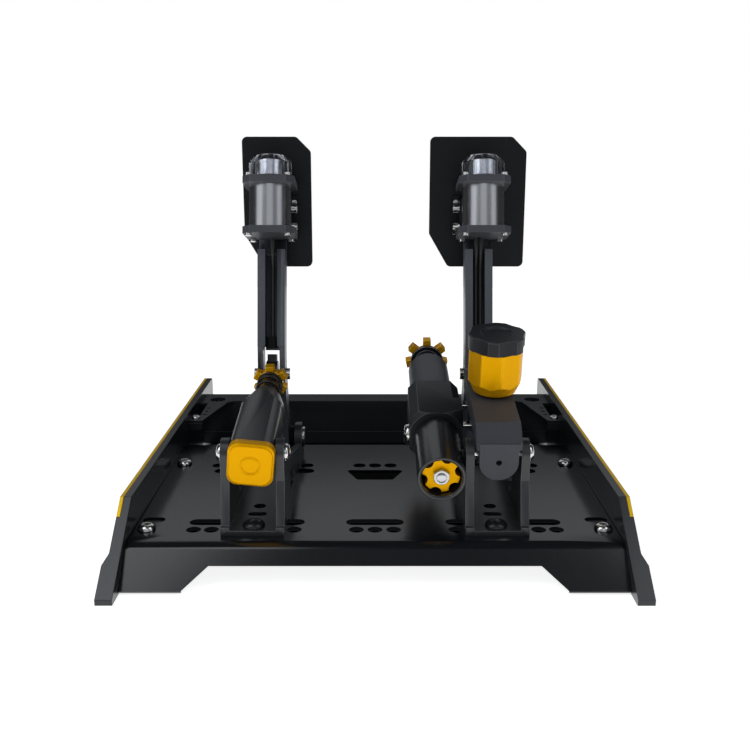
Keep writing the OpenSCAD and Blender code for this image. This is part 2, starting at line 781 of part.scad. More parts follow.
module throttle_rod_pin() color(chrome) pedal(left) rod_pin();
module brake_rod_pin() color(chrome) pedal(right) rod_pin();

// Pads
module pad_2d(w) {
    polygon(rounded([[18 - w / 2, 0], [-w / 2, 31], [-w / 2, pad_h], [w / 2 - 13.5, pad_h],
                     [w / 2, pad_h - 13.5], [w / 2, 0]], 5));
}
module pad_plate(w, shift) {
    difference() {
        prism_y(pad_y, pad_y + pad_t) translate([shift, pad_low]) pad_2d(w);
        pad_screw_places() cylinder(h = pad_t + 2 * cut, r = pad_screw_r + run_fit);
    }
}
module pad_screw_places() {
    for (x = [left, right], z = [pad_bracket_z[0] + 6, pad_bracket_z[1] - 6])
        translate([x * pad_screw_x, pad_y + pad_t + cut, z]) rotate([90, 0, 0]) children();
}
module throttle_pad() color(black) pedal(left) pad_plate(throttle_pad_w, throttle_pad_shift);
module brake_pad() color(black) pedal(right) pad_plate(brake_pad_w, brake_pad_shift);
module pad_bracket() {
    half = arm_w / 2;
    out = half + pad_bracket_t;
    ear_front = tongue_front + 0.6;
    difference() {
        union() {
            translate([-pad_bracket_w / 2, pad_y - pad_bracket_t, pad_bracket_z[0]])
                cube([pad_bracket_w, pad_bracket_t, pad_bracket_z[1] - pad_bracket_z[0]]);
            for (s = [left, right])
                translate([s * (half + pad_bracket_t / 2), 0, 0]) prism_x(-pad_bracket_t / 2, pad_bracket_t / 2)
                    polygon([[pad_y - cut, pad_bracket_z[0]], arm_point(ear_front + 4, cross_screws[0] - 12),
                             arm_point(ear_front, cross_screws[0] - 8), arm_point(ear_front, cross_screws[1] + 7),
                             [pad_y - cut, pad_bracket_z[1]]]);
        }
        arm_frame() for (z = cross_screws)
            translate([0, tongue_front + tongue_t / 2, z]) rod_x(-out - cut, out + cut, cross_screw_r + run_fit);
        pad_screw_places() cylinder(h = 3 * pad_t, r = pad_screw_r + run_fit);
    }
}
module throttle_pad_bracket() color(black) pedal(left) pad_bracket();
module brake_pad_bracket() color(black) pedal(right) pad_bracket();
module socket_screw_x(x0, x1) {
    difference() {
        union() {
            rod_x(x0 - cut, x1 + cut, cross_screw_r);
            rod_x(x1, x1 + cross_head_h, cross_head_r);
        }
        translate([x1 + cross_head_h / 2, 0, 0]) rotate([0, 90, 0]) cylinder(h = cross_head_h, r = 2.9, $fn = 6);
    }
    rod_x(x0 - 4, x0, cross_head_r);
}
module arm_screws(inner, motor_shift) {
    out = arm_w / 2 + pad_bracket_t;
    arm_frame() {
        for (z = cross_screws) translate([0, tongue_front + tongue_t / 2, z])
            rotate([0, 0, inner > 0 ? 0 : 180]) socket_screw_x(-out, out);
        for (x = [left, right], y = [left, right])
            translate([motor_shift + x * clamp_bolt, motor_y + y * clamp_bolt, 0]) {
                translate([0, 0, clamp_up - clamp_head_h])
                    cylinder(h = clamp_head_h + clamp_bolt_len, r = clamp_bolt_r);
                translate([0, 0, clamp_up - clamp_head_h]) cylinder(h = clamp_head_h, r = clamp_bolt_r + 1);
                translate([0, 0, clamp_top - clamp_bolt_len])
                    cylinder(h = clamp_bolt_len + clamp_head_h, r = clamp_bolt_r);
                translate([0, 0, clamp_top]) cylinder(h = clamp_head_h, r = clamp_bolt_r + 1);
            }
    }
    pad_screw_places() translate([0, 0, cut]) {
        cylinder(h = pad_t + pad_bracket_t + 1.5, r = pad_screw_r);
        translate([0, 0, -1.2]) cylinder(h = 1.2, r = pad_screw_r + 1.5);
    }
}
module throttle_screws() color(chrome) pedal(left) arm_screws(right, 0);
module brake_screws() color(chrome) pedal(right) arm_screws(left, brake_motor_shift);

// Haptic motor on the arm's front
module clamp_2d() {
    half = clamp_w / 2;
    polygon([[-half, tongue_front], [-half, clamp_front + clamp_chamfer], [clamp_chamfer - half, clamp_front],
             [half - clamp_chamfer, clamp_front], [half, clamp_front + clamp_chamfer], [half, tongue_front]]);
}
module clamp_bolt_holes() {
    for (x = [left, right], y = [left, right])
        translate([x * clamp_bolt, motor_y + y * clamp_bolt, 0])
            for (z = [clamp_up - cut, clamp_top - clamp_bolt_len])
                translate([0, 0, z]) cylinder(h = clamp_bolt_len + cut, r = clamp_bolt_r + run_fit);
}
module motor_clamps() {
    can_hole = can_d / 2 + run_fit;
    arm_frame() difference() {
        for (z = [clamp_up, clamp_top - clamp_t]) translate([0, 0, z]) linear_extrude(clamp_t) clamp_2d();
        translate([0, motor_y, clamp_up + clamp_pocket]) cylinder(h = clamp_t, r = can_hole);
        translate([0, motor_y, clamp_top - clamp_t - cut]) cylinder(h = clamp_t + 2 * cut, r = can_hole);
        clamp_bolt_holes();
    }
}
module motor_can() {
    base = clamp_up + clamp_pocket;
    top = clamp_top - clamp_pocket;
    arm_frame() translate([0, motor_y, 0]) difference() {
        translate([0, 0, base]) cylinder(h = top - base, d = can_d);
        translate([0, 0, base + can_wall]) cylinder(h = top - base - 2 * can_wall, d = can_d - 2 * can_wall);
        translate([0, 0, base + can_wall + cut]) cylinder(h = top - base, r = 2.5 + run_fit);
    }
}
module motor_cap() {
    wall_top = clamp_top + cap_h - 6;
    r = cap_d / 2 - 1;
    arm_frame() translate([0, motor_y, 0]) difference() {
        union() {
            translate([0, 0, clamp_top]) cylinder(h = wall_top - clamp_top, r = r);
            translate([0, 0, wall_top]) cylinder(h = 6, r1 = r, r2 = r - 5);
            intersection() {
                for (i = [0:7]) rotate(i * 45 + 90) translate([0, -2.75, clamp_top]) cube([r + 1, 5.5, cap_h]);
                union() {
                    translate([0, 0, clamp_top]) cylinder(h = wall_top - clamp_top + 0.5, r = r + 1);
                    translate([0, 0, wall_top + 0.5]) cylinder(h = 6, r1 = r + 1, r2 = r - 4);
                }
            }
        }
        translate([0, 0, clamp_top - cut]) cylinder(h = wall_top - clamp_top, r = r - 2);
        translate([0, 0, wall_top - 2 * cut]) cylinder(h = 5, r1 = r - 2, r2 = r - 7);
    }
}
module motor_rotor() {
    base = clamp_up + clamp_pocket + can_wall;
    weight_z = clamp_top + 2;
    arm_frame() translate([0, motor_y, 0]) {
        translate([0, 0, base + move_gap]) cylinder(h = weight_z + 9 - base - move_gap, r = 2.5);
        translate([0, 0, base + 4]) cylinder(h = can_len - 9, r = can_d / 2 - can_wall - 3);
        translate([0, 0, weight_z]) difference() {
            cylinder(h = 9, r = cap_d / 2 - 6);
            translate([4, -cap_d, -cut]) cube([cap_d, 2 * cap_d, 9 + 2 * cut]);
        }
    }
}
module throttle_motor_clamps() color(black) pedal(left) motor_clamps();
module brake_motor_clamps() color(black) pedal(right) translate([brake_motor_shift, 0, 0]) motor_clamps();
module throttle_motor_can() color(grey) pedal(left) motor_can();
module brake_motor_can() color(grey) pedal(right) translate([brake_motor_shift, 0, 0]) motor_can();
module throttle_motor_cap() color(clear_blue) pedal(left) motor_cap();
module brake_motor_cap() color(clear_blue) pedal(right) translate([brake_motor_shift, 0, 0]) motor_cap();
module throttle_motor_rotor() color(chrome) pedal(left) motor_rotor();
module brake_motor_rotor() color(chrome) pedal(right) translate([brake_motor_shift, 0, 0]) motor_rotor();

// Motor lead in the arm's channel, from the lower clamp to a plug on the web, as [y, z]
lead_route = [[-12, 124.4], [-12, 118], [-11, 111], [-8, 104], [-6, 97],
              [-6, 88], [-6, 79], [-6, 70], [-6, 61], [-6, 52], [-6, 43], [-6, 34]];
lead_plug = [-9, 24, 34];
// Rings of a tube of radius r along points, each ring square to its neighbours' direction
function tube_ring(p, dir, r, sides) =
    let (d = dir / norm(dir), ref = abs(d[0]) < 0.9 ? [1, 0, 0] : [0, 1, 0],
         u = cross(d, ref) / norm(cross(d, ref)), w = cross(d, u))
    [for (k = [0:sides - 1]) p + r * (cos(k * 360 / sides) * u + sin(k * 360 / sides) * w)];
function path_dir(pts, i) =
    pts[min(i + 1, len(pts) - 1)] - pts[max(i - 1, 0)];
module tube_mesh(rings, sides) {
    n = len(rings);
    last = (n - 1) * sides;
    polyhedron(
        points = [for (ring = rings) each ring],
        faces = concat(
            [for (k = [1:sides - 2]) [0, k, k + 1]],
            [for (i = [0:n - 2], k = [0:sides - 1], t = [0, 1])
                t == 0 ? [i * sides + k, (i + 1) * sides + k, (i + 1) * sides + (k + 1) % sides]
                       : [i * sides + k, (i + 1) * sides + (k + 1) % sides, i * sides + (k + 1) % sides]],
            [for (k = [1:sides - 2]) [last, last + k + 1, last + k]]
        )
    );
}
module motor_lead(offsets) {
    arm_frame() for (x = offsets) {
        pts = [for (p = lead_route) [x, p[0], p[1]]];
        tube_mesh([for (i = [0:len(pts) - 1]) tube_ring(pts[i], path_dir(pts, i), lead_d / 2, 8)], 8);
    }
    arm_frame() translate([-channel_w / 2 + 1, lead_plug[0], lead_plug[1]])
        cube([channel_w - 2, arm_front + channel_d - lead_plug[0], lead_plug[2] - lead_plug[1]]);
}
module throttle_motor_lead() color(rubber) pedal(left) motor_lead([1]);
module brake_motor_lead() color(rubber) pedal(right) motor_lead([-2.2, 2.2]);

// Throttle strut
module throttle_strut_body() color(grey) pedal(left) strut_frame() difference() {
    intersection() {
        prism_y(-strut_tail, strut_len) soft_square(strut_w, strut_w - 1, strut_soft);
        union() {
            rod_y(-strut_tail - cut, strut_len - strut_taper, strut_w);
            translate([0, strut_len - strut_taper, 0]) rotate([-90, 0, 0])
                cylinder(h = strut_taper, r1 = strut_corner, r2 = strut_nose_r);
        }
    }
    for (s = [left, right])
        translate([s * strut_flat_w / 2 - (s < 0 ? strut_w : 0), -strut_tail - cut, -strut_w])
            cube([strut_w, flat_end + strut_tail + cut, 2 * strut_w]);
    rod_y(0, strut_len + cut, rod_r + run_fit);
    rod_y(cavity[0], cavity[1], cavity_r);
    rod_x(-strut_w, strut_w, screw_r + run_fit);
}
module throttle_end_cap() color(gold) pedal(left) strut_frame() rotate([0, end_cap_turn, 0]) difference() {
    union() {
        prism_y(1.2 - strut_tail - end_cap_t, -strut_tail) soft_square(end_cap_w, end_cap_w, 9);
        prism_y(-strut_tail - end_cap_t, 1.2 - strut_tail - end_cap_t + cut)
            soft_square(end_cap_w - 2.4, end_cap_w - 2.4, 8);
    }
    translate([0, -strut_tail - end_cap_t, 0]) rotate([-90, 0, 0]) difference() {
        translate([0, 0, -cut]) cylinder(h = 1 + cut, r = 7.9);
        translate([0, 0, -2 * cut]) cylinder(h = 4 * cut, r = 6.4);
    }
}
module rod_eye() {
    difference() {
        union() {
            rod_x(-eye_w / 2, eye_w / 2, eye_r);
            rotate([-arm_lean, 0, 0]) translate([1 - eye_w / 2, -5, eye_r - 4])
                cube([eye_w - 2, 10, eye_top - eye_r + 4]);
        }
        rod_x(-eye_w, eye_w, rod_pin_r + eye_gap);
    }
}
module throttle_rod() color(chrome) pedal(left) {
    strut_frame() {
        rod_y(piston_s - 8, rod_len - eye_r + 4, rod_r);
        rod_y(piston_s, piston_s + 8, cavity_r - 3 * run_fit);
    }
    translate([0, C[0], C[1]]) rod_eye();
}
module throttle_preload_knob() color(gold) pedal(left) strut_frame() difference() {
    prism_y(knob_s, knob_s + preload_t) toothed_disc(preload_r - 4, preload_r, 6, 8);
    rod_y(knob_s - cut, knob_s + preload_t + cut, rod_r + run_fit);
}
// Spring wire: straight ends along the axis, a bend of one wire diameter, then the coil
spring_r = (spring_d - wire_d) / 2;
spring_lift = 2 * wire_d;
coil_rings = 8;
function bend_point(q, end) =
    let (arc = wire_d * (1 - cos(q)) / spring_r * 180 / PI, rise = wire_d + wire_d * sin(q))
    end == 0 ? [spring_r * cos(arc), spring_r * sin(arc), rise]
             : [spring_r * cos(360 * spring_turns - arc), spring_r * sin(360 * spring_turns - arc), spring_len - rise];
function coil_point(t) =
    let (lead_in = wire_d / spring_r * 180 / PI, a = lead_in + (360 * spring_turns - 2 * lead_in) * t)
    [spring_r * cos(a), spring_r * sin(a), spring_lift + (spring_len - 2 * spring_lift) * t];
coil_count = spring_turns * coil_rings;
spring_pts = concat(
    [[spring_r, 0, 0]],
    [for (q = [0, 35, 70]) bend_point(q, 0)],
    [for (i = [0:coil_count]) coil_point(i / coil_count)],
    [for (q = [70, 35, 0]) bend_point(q, 1)],
    [[spring_r * cos(360 * spring_turns), spring_r * sin(360 * spring_turns), spring_len]]
);
coil_gap = min([for (i = [0:coil_count - coil_rings], j = [i + coil_rings - 2:min(i + coil_rings + 2, coil_count)])
    norm(coil_point(i / coil_count) - coil_point(j / coil_count))]) - wire_d;
echo(spring_self_gap = coil_gap);
module throttle_spring() color(black) pedal(left) strut_frame()
    translate([0, strut_len + 0.15, 0]) rotate([-90, 0, 0])
        tube_mesh([for (i = [0:len(spring_pts) - 1])
            tube_ring(spring_pts[i], path_dir(spring_pts, i), wire_d / 2, 6)], 6);

// Brake master cylinder and its reservoir
module master_block() color(grey) pedal(right) strut_frame() difference() {
    union() {
        rod_y(-master_tail, master_len, belly_r);
        translate([-belly_r, -master_tail, 0]) cube([2 * belly_r, master_len + master_tail, front_up + cut]);
        prism_x(-master_w / 2, master_w / 2)
            polygon([[-master_tail, waist_up], [-master_tail, front_up], [0, master_up],
                     [master_len, master_up], [master_len, waist_up]]);
    }
    for (s = [left, right])
        translate([s * master_w / 2, -master_tail, waist_up]) rotate([0, 0, 45]) cube([3.5, 3.5, 14], center = true);
    rod_y(16, master_len + cut, master_bore_r);
    rod_y(-master_tail - cut, -master_tail + 6, 2.4);
    rod_x(-master_w, master_w, screw_r + run_fit);
    translate([reservoir_x, reservoir_s, 0]) cylinder(h = master_up + cut, r = 2.5);
    cross_bolt_places() rod_x(-master_w, 3 - belly_r, cross_bolt_r + run_fit);
    translate([0, sensor_s, -belly_r]) cylinder(h = 12, r = 4);
}
// Places of the bolts that tie the slave block to the master block, along the master's axis
cross_bolt_s = [57, 95];
cross_bolt_n = -4;
sensor_s = 42;
module cross_bolt_places() {
    for (s = cross_bolt_s) translate([0, s, cross_bolt_n]) children();
}
module master_piston() color(chrome) pedal(right) {
    strut_frame() {
        rod_y(master_piston_near, master_piston_far, master_bore_r - run_fit);
        rod_y(master_piston_near, rod_len - eye_r + 4, rod_r);
    }
    translate([0, C[0], C[1]]) rod_eye();
}
module pressure_sensor() color(chrome) pedal(right) strut_frame() translate([0, sensor_s, -belly_r]) {
    translate([0, 0, -7]) cylinder(h = 7 + 4, r = 4 - run_fit);
    translate([0, 0, -12]) cylinder(h = 10, r = 7, $fn = 6);
}
fitting_h = 3;
cup_low = master_up + fitting_h;
lid_low = cup_low + reservoir_h;
lid_bevel = 1.2;
cup_foot_h = 4;
cup_round_h = 6;
cup_flats = 8;
cup_flat_turn = 7.5;
cup_flat_out = 0.3;
lid_lands = 6;
lid_turn = 17;
scallop_r = 36;
scallop_in = 2.2;
module reservoir_frame() {
    pedal(right) strut_frame() translate([reservoir_x, reservoir_s, 0]) children();
}
module reservoir_fitting() color(gold) reservoir_frame() translate([0, 0, master_up]) difference() {
    cylinder(h = fitting_h, r = 8);
    translate([0, 0, -cut]) cylinder(h = fitting_h + 2 * cut, r = 2.5);
}
module reservoir_cup() color(gold) reservoir_frame() difference() {
    union() {
        translate([0, 0, cup_low]) cylinder(h = cup_foot_h, r1 = reservoir_d / 2 - 4.5, r2 = reservoir_d / 2 - 3);
        intersection() {
            translate([0, 0, cup_low + cup_foot_h]) union() {
                cylinder(h = cup_round_h, r1 = reservoir_d / 2 - 3, r2 = reservoir_d / 2);
                translate([0, 0, cup_round_h - cut])
                    cylinder(h = reservoir_h - cup_foot_h - cup_round_h + cut, d = reservoir_d);
            }
            translate([0, 0, cup_low]) rotate(cup_flat_turn)
                cylinder(h = reservoir_h + cut, r = reservoir_d / 2 + cup_flat_out, $fn = cup_flats);
        }
    }
    translate([0, 0, cup_low + 5]) cylinder(h = reservoir_h, r = reservoir_d / 2 - 4);
    translate([0, 0, cup_low - cut]) cylinder(h = reservoir_h, r = 2.5);
}
module reservoir_cap() color(black) reservoir_frame() translate([0, 0, lid_low + move_gap]) difference() {
    union() {
        intersection() {
            linear_extrude(lid_h) difference() {
                circle(d = lid_d);
                for (i = [0:lid_lands - 1])
                    rotate(lid_turn + (i + 0.5) * 360 / lid_lands)
                        translate([lid_d / 2 - scallop_in + scallop_r, 0]) circle(r = scallop_r);
            }
            union() {
                cylinder(h = lid_h - lid_bevel, d = lid_d + 1);
                translate([0, 0, lid_h - lid_bevel])
                    cylinder(h = lid_bevel, r1 = lid_d / 2 + 0.5, r2 = lid_d / 2 + 0.5 - lid_bevel);
            }
        }
        translate([0, 0, -4]) cylinder(h = 4 + cut, r = reservoir_d / 2 - 4 - move_gap);
    }
    translate([0, 0, lid_h - 1.5]) cylinder(h = 2 + cut, r1 = 12, r2 = 14.5);
    translate([0, 0, -4 - cut]) cylinder(h = 6, r = reservoir_d / 2 - 7);
}

// Brake slave cylinder
module block_2d(corner) {
    h = block_w / 2;
    low = block_chamfer_low;
    top = block_chamfer;
    polygon([[-h, low - h], [low - h, -h], [h - low, -h], [h, low - h],
             [h, h - corner], [h - corner, h], [top - h, h], [-h, h - top]]);
}
module slave_block() color(grey) difference() {
    slave_frame() intersection() {
        union() {
            prism_y(tube_len, tube_len + slave_len) block_2d(block_chamfer);
            prism_y(tube_len, tube_len + block_lug_len) block_2d(block_break);
        }
        translate([0, tube_len, 0]) rotate([-90, 0, 0])
            cylinder(h = slave_len, r1 = block_w / 2 + block_break, r2 = block_w / 2 + block_break + slave_len);
    }
    slave_frame() rod_y(tube_len - cut, tube_len + 14, stud_r + run_fit);
    slave_frame() translate([0, tube_len + side_bolt_s, side_bolt_n])
        rod_x(-block_w, side_bolt_len + 1 - block_w / 2, side_bolt_r + run_fit);
    pedal(right) strut_frame() cross_bolt_places()
        rod_x(block_w / 2 - slave_off - cross_bolt_deep - 0.5, 0, cross_bolt_r + run_fit);
}
module slave_tube() color(black) slave_frame() difference() {
    rod_y(0, tube_len, tube_d / 2);
    rod_y(-cut, tube_len + cut, tube_d / 2 - tube_wall);
    translate([0, -0.01, 0]) rotate([-90, 0, 0])
        cylinder(h = 1.2, r1 = tube_d / 2 - tube_wall + 1.2, r2 = tube_d / 2 - tube_wall);
}
module slave_nose() color(grey) slave_frame()
    translate([0, tube_len + slave_len, 0]) rotate([-90, 0, 0]) difference() {
        union() {
            cylinder(h = nose_len - 6, r = slave_w / 2);
            translate([0, 0, nose_len - 6]) cylinder(h = 6, r1 = slave_w / 2, r2 = 14);
        }
        translate([0, 0, 8]) cylinder(h = nose_len, r = stem_r);
    }
module slave_index_ring() color(black) slave_frame() difference() {
    union() {
        rod_y(nose_end, index_end - cut, index_neck_r);
        rod_y(index_end - index_t, index_end, index_r);
    }
    rod_y(nose_end - cut, index_end + cut, stem_r);
}
module slave_damping_knob() color(gold) slave_frame() {
    seat = index_end + move_gap;
    difference() {
        prism_y(seat, seat + damping_t) toothed_disc(damping_root, damping_r, 7, damping_block);
        rod_y(seat + damping_t - 2, seat + damping_t + cut, 10);
    }
    rod_y(nose_end - 12, seat + cut, stem_r - run_fit);
}
module slave_stud() color(chrome) slave_frame() {
    rod_y(stud_near, tube_len + stud_far, stud_r);
    translate([0, lock_nut_s, 0]) rotate([-90, 0, 0]) cylinder(h = lock_nut_h, r = lock_nut_r, $fn = 6);
}
module slave_preload_knob() color(gold) slave_frame() difference() {
    prism_y(slave_knob_s, slave_knob_s + slave_knob_t) difference() {
        circle(r = slave_knob_r);
        for (i = [0:slave_notches - 1])
            rotate(i * 360 / slave_notches + slave_notch_turn)
                translate([slave_notch_at, 0]) circle(r = slave_notch_r);
    }
    rod_y(slave_knob_s - cut, slave_knob_s + slave_knob_t + cut, stud_r + run_fit);
}
module elastomer_stack() color(rubber) slave_frame() difference() {
    for (i = [0:stack_n - 1])
        rod_y(stack_s + i * (stack_disc + stack_gap), stack_s + i * (stack_disc + stack_gap) + stack_disc, stack_r);
    rod_y(0, tube_len, stud_r + stack_gap);
}
module slave_piston() color(chrome) slave_frame() difference() {
    s0 = stack_s + stack_n * (stack_disc + stack_gap);
    rod_y(s0, s0 + ram_t, tube_d / 2 - tube_wall - run_fit);
    rod_y(s0 - cut, s0 + ram_t + cut, stud_r + run_fit);
}
module slave_bolts() color(chrome) {
    slave_frame() translate([-block_w / 2, tube_len + side_bolt_s, side_bolt_n]) rotate([0, -90, 0])
        button_screw(side_head_r, side_head_h, side_bolt_r, side_bolt_len, side_key_r);
    pedal(right) strut_frame() cross_bolt_places()
        rod_x(block_w / 2 - slave_off - cross_bolt_deep, 2.8 - belly_r, cross_bolt_r);
}

base_plate();
left_rail();
right_rail();
left_rail_trim();
right_rail_trim();
heel_rest();
heel_crossbar();
base_screws();
controller_box();
controller_board();
throttle_bracket();
brake_bracket();
bracket_bolts();
trunnion_bolts();
throttle_pivot_pin();
brake_pivot_pin();
throttle_sensor();
throttle_arm();
throttle_bushes();
throttle_pad();
throttle_pad_bracket();
throttle_screws();
throttle_motor_can();
throttle_motor_clamps();
throttle_motor_cap();
throttle_motor_rotor();
throttle_motor_lead();
throttle_rod_pin();
throttle_strut_body();
throttle_end_cap();
throttle_rod();
throttle_spring();
throttle_preload_knob();
brake_arm();
brake_bushes();
brake_pad();
brake_pad_bracket();
brake_screws();
brake_motor_can();
brake_motor_clamps();
brake_motor_cap();
brake_motor_rotor();
brake_motor_lead();
brake_rod_pin();
master_block();
master_piston();
reservoir_cup();
reservoir_fitting();
reservoir_cap();
slave_block();
slave_tube();
slave_nose();
slave_index_ring();
slave_damping_knob();
slave_preload_knob();
slave_stud();
slave_piston();
elastomer_stack();
slave_bolts();
pressure_sensor();
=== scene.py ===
"""Looks of a sim racing pedal set: throttle on the left, brake on the right, on a low base with two rails.

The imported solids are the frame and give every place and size. Machined and bent pieces are bevelled copies
of their solids; screws, wound and soft pieces are new surfaces worked out with numpy. Lengths are in metres,
and sizes that a maker would give in millimetres are written as a number times MM.
"""

import json
import logging
import math
from dataclasses import dataclass
from enum import Enum
from typing import ClassVar, Sequence

import bmesh
import bpy
import numpy as np
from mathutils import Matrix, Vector

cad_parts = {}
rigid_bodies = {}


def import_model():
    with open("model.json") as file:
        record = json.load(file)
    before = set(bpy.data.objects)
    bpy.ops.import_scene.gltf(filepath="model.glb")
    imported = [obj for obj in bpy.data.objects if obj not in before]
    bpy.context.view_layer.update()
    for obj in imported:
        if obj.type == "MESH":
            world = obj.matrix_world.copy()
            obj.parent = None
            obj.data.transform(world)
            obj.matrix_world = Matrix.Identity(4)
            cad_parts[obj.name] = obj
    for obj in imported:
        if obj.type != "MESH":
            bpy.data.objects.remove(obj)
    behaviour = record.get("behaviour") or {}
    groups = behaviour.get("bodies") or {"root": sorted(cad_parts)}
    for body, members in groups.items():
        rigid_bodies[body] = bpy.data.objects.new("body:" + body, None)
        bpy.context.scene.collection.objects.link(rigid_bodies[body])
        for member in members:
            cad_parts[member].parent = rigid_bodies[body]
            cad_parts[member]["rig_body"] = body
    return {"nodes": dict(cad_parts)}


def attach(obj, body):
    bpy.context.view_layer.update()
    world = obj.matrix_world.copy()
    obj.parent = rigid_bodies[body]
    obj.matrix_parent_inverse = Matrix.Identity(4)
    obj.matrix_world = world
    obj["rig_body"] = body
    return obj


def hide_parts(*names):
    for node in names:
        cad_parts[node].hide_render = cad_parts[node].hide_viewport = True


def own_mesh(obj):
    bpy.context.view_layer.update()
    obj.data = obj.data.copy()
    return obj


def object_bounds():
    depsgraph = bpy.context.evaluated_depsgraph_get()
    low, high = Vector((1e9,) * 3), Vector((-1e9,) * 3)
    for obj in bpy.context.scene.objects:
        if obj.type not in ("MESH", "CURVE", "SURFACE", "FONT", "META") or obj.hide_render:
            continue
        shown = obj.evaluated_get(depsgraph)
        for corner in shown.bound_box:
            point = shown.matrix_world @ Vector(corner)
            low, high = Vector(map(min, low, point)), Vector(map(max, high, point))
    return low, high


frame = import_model()
CAD_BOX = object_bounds()

MM = 0.001
LOG = logging.getLogger("pedal_set")
Rgb = tuple[float, float, float]
Value = float | Rgb | bpy.types.NodeSocket
WHITE: Rgb = (1.0, 1.0, 1.0)


# ---------------------------------------------------------------------------------------------------------
# Finishes


class Lay(Enum):
    """Direction in which a surface's fine lines run, as the grain's scale along X, Y and Z."""

    EVEN = (1.0, 1.0, 1.0)
    ALONG_X = (0.04, 1.0, 1.0)
    ALONG_Z = (1.0, 1.0, 0.04)


class Slot(Enum):
    """The record's material slots."""

    COAT = "black_coat"
    ANODISED = "black_anodised"
    GOLD = "gold_anodised"
    CHROME = "chrome"
    STEEL = "steel"
    BLACK_STEEL = "black_steel"
    GUNMETAL = "gunmetal"
    CLEAR = "clear_plastic"
    PLASTIC = "plastic"
    RUBBER = "rubber"
    ELASTOMER = "elastomer"


class Sheet:
    """A node tree that nodes are placed on and linked, for a material or a node group."""

    def __init__(self, tree: bpy.types.NodeTree) -> None:
        """Starts on an empty tree."""
        self.tree = tree
        self.tree.nodes.clear()

    def add(self, kind: str, inputs: dict | None = None, **settings: object) -> bpy.types.Node:
        """Places a node.

        Args:
            kind: Blender's node type.
            inputs: values or output sockets for its inputs, by name or number.
            settings: the node's own properties.

        Returns:
            The new node.
        """
        node = self.tree.nodes.new(kind)
        for name, value in settings.items():
            setattr(node, name, value)
        for name, value in (inputs or {}).items():
            if isinstance(value, bpy.types.NodeSocket):
                self.tree.links.new(value, node.inputs[name])
            else:
                node.inputs[name].default_value = value
        return node

    def math(self, operation: str, *values: Value, clamp: bool = False) -> bpy.types.NodeSocket:
        """Places a Math node on its values and returns its result."""
        node = self.add("ShaderNodeMath", dict(enumerate(values)), operation=operation, use_clamp=clamp)
        return node.outputs[0]

    def mix(self, share: Value, first: Value, second: Value) -> bpy.types.NodeSocket:
        """Mixes two colours by a share from 0 to 1.

        Args:
            share: the second colour's share, or a socket with it.
            first: a colour, or a socket with it.
            second: a colour, or a socket with it.

        Returns:
            The mixed colour's socket.
        """
        node = self.add("ShaderNodeMix", data_type="RGBA")
        for number, value in ((0, share), (6, first), (7, second)):
            if isinstance(value, bpy.types.NodeSocket):
                self.tree.links.new(value, node.inputs[number])
            else:
                node.inputs[number].default_value = value if number == 0 else (*value, 1.0)
        return node.outputs[2]

    def close(self, last: bpy.types.Node, kind: str = "ShaderNodeOutputMaterial") -> None:
        """Links the last shader to an output node."""
        self.add(kind, {"Surface": last.outputs[0]})


def effect(name: str, inputs: dict[str, str], outputs: Sequence[str]) -> tuple[Sheet, dict]:
    """Starts a shared shader effect.

    Args:
        name: the node group's name.
        inputs: socket kind for each input.
        outputs: the value outputs.

    Returns:
        The sheet and the input sockets by name.
    """
    tree = bpy.data.node_groups.new(name, "ShaderNodeTree")
    sheet = Sheet(tree)
    for label, kind in inputs.items():
        tree.interface.new_socket(label, in_out="INPUT", socket_type=kind)
    for label in outputs:
        tree.interface.new_socket(label, in_out="OUTPUT", socket_type="NodeSocketFloat")
    start = sheet.add("NodeGroupInput")
    return sheet, {label: start.outputs[label] for label in inputs}


@dataclass(frozen=True)
class GrainEffect:
    """Fine grain of a coat or a cut face: two octaves of noise, stretched along the lay, as height and tone.

    coarse is the second octave's scale against the first's, fine_share the first's share of the height, and
    contrast the factor and the offset from height to tone.
    """

    name: str = "fine_grain"
    coarse: float = 0.21
    fine_share: float = 0.65
    contrast: tuple[float, float] = (2.6, -0.8)

    def tree(self) -> bpy.types.NodeTree:
        """Builds the node group once.

        Returns:
            The node group.
        """
        known = bpy.data.node_groups.get(self.name)
        if known:
            return known
        kinds = {"Vector": "NodeSocketVector", "Scale": "NodeSocketFloat", "Stretch": "NodeSocketVector"}
        sheet, given = effect(self.name, kinds, ("Height", "Tone"))
        stretched = {0: given["Vector"], 1: given["Stretch"]}
        place = sheet.add("ShaderNodeVectorMath", stretched, operation="MULTIPLY").outputs[0]
        octave = {"Vector": place, "Scale": given["Scale"], "Detail": 2.0, "Roughness": 0.6}
        fine = sheet.add("ShaderNodeTexNoise", octave).outputs[0]
        scale = sheet.math("MULTIPLY", given["Scale"], self.coarse)
        octave = {"Vector": place, "Scale": scale, "Detail": 3.0}
        coarse = sheet.add("ShaderNodeTexNoise", octave).outputs[0]
        coarse = sheet.math("MULTIPLY", coarse, 1.0 - self.fine_share)
        height = sheet.math("MULTIPLY_ADD", fine, self.fine_share, coarse)
        tone = sheet.math("MULTIPLY_ADD", height, *self.contrast, clamp=True)
        sheet.add("NodeGroupOutput", {"Height": height, "Tone": tone})
        return sheet.tree


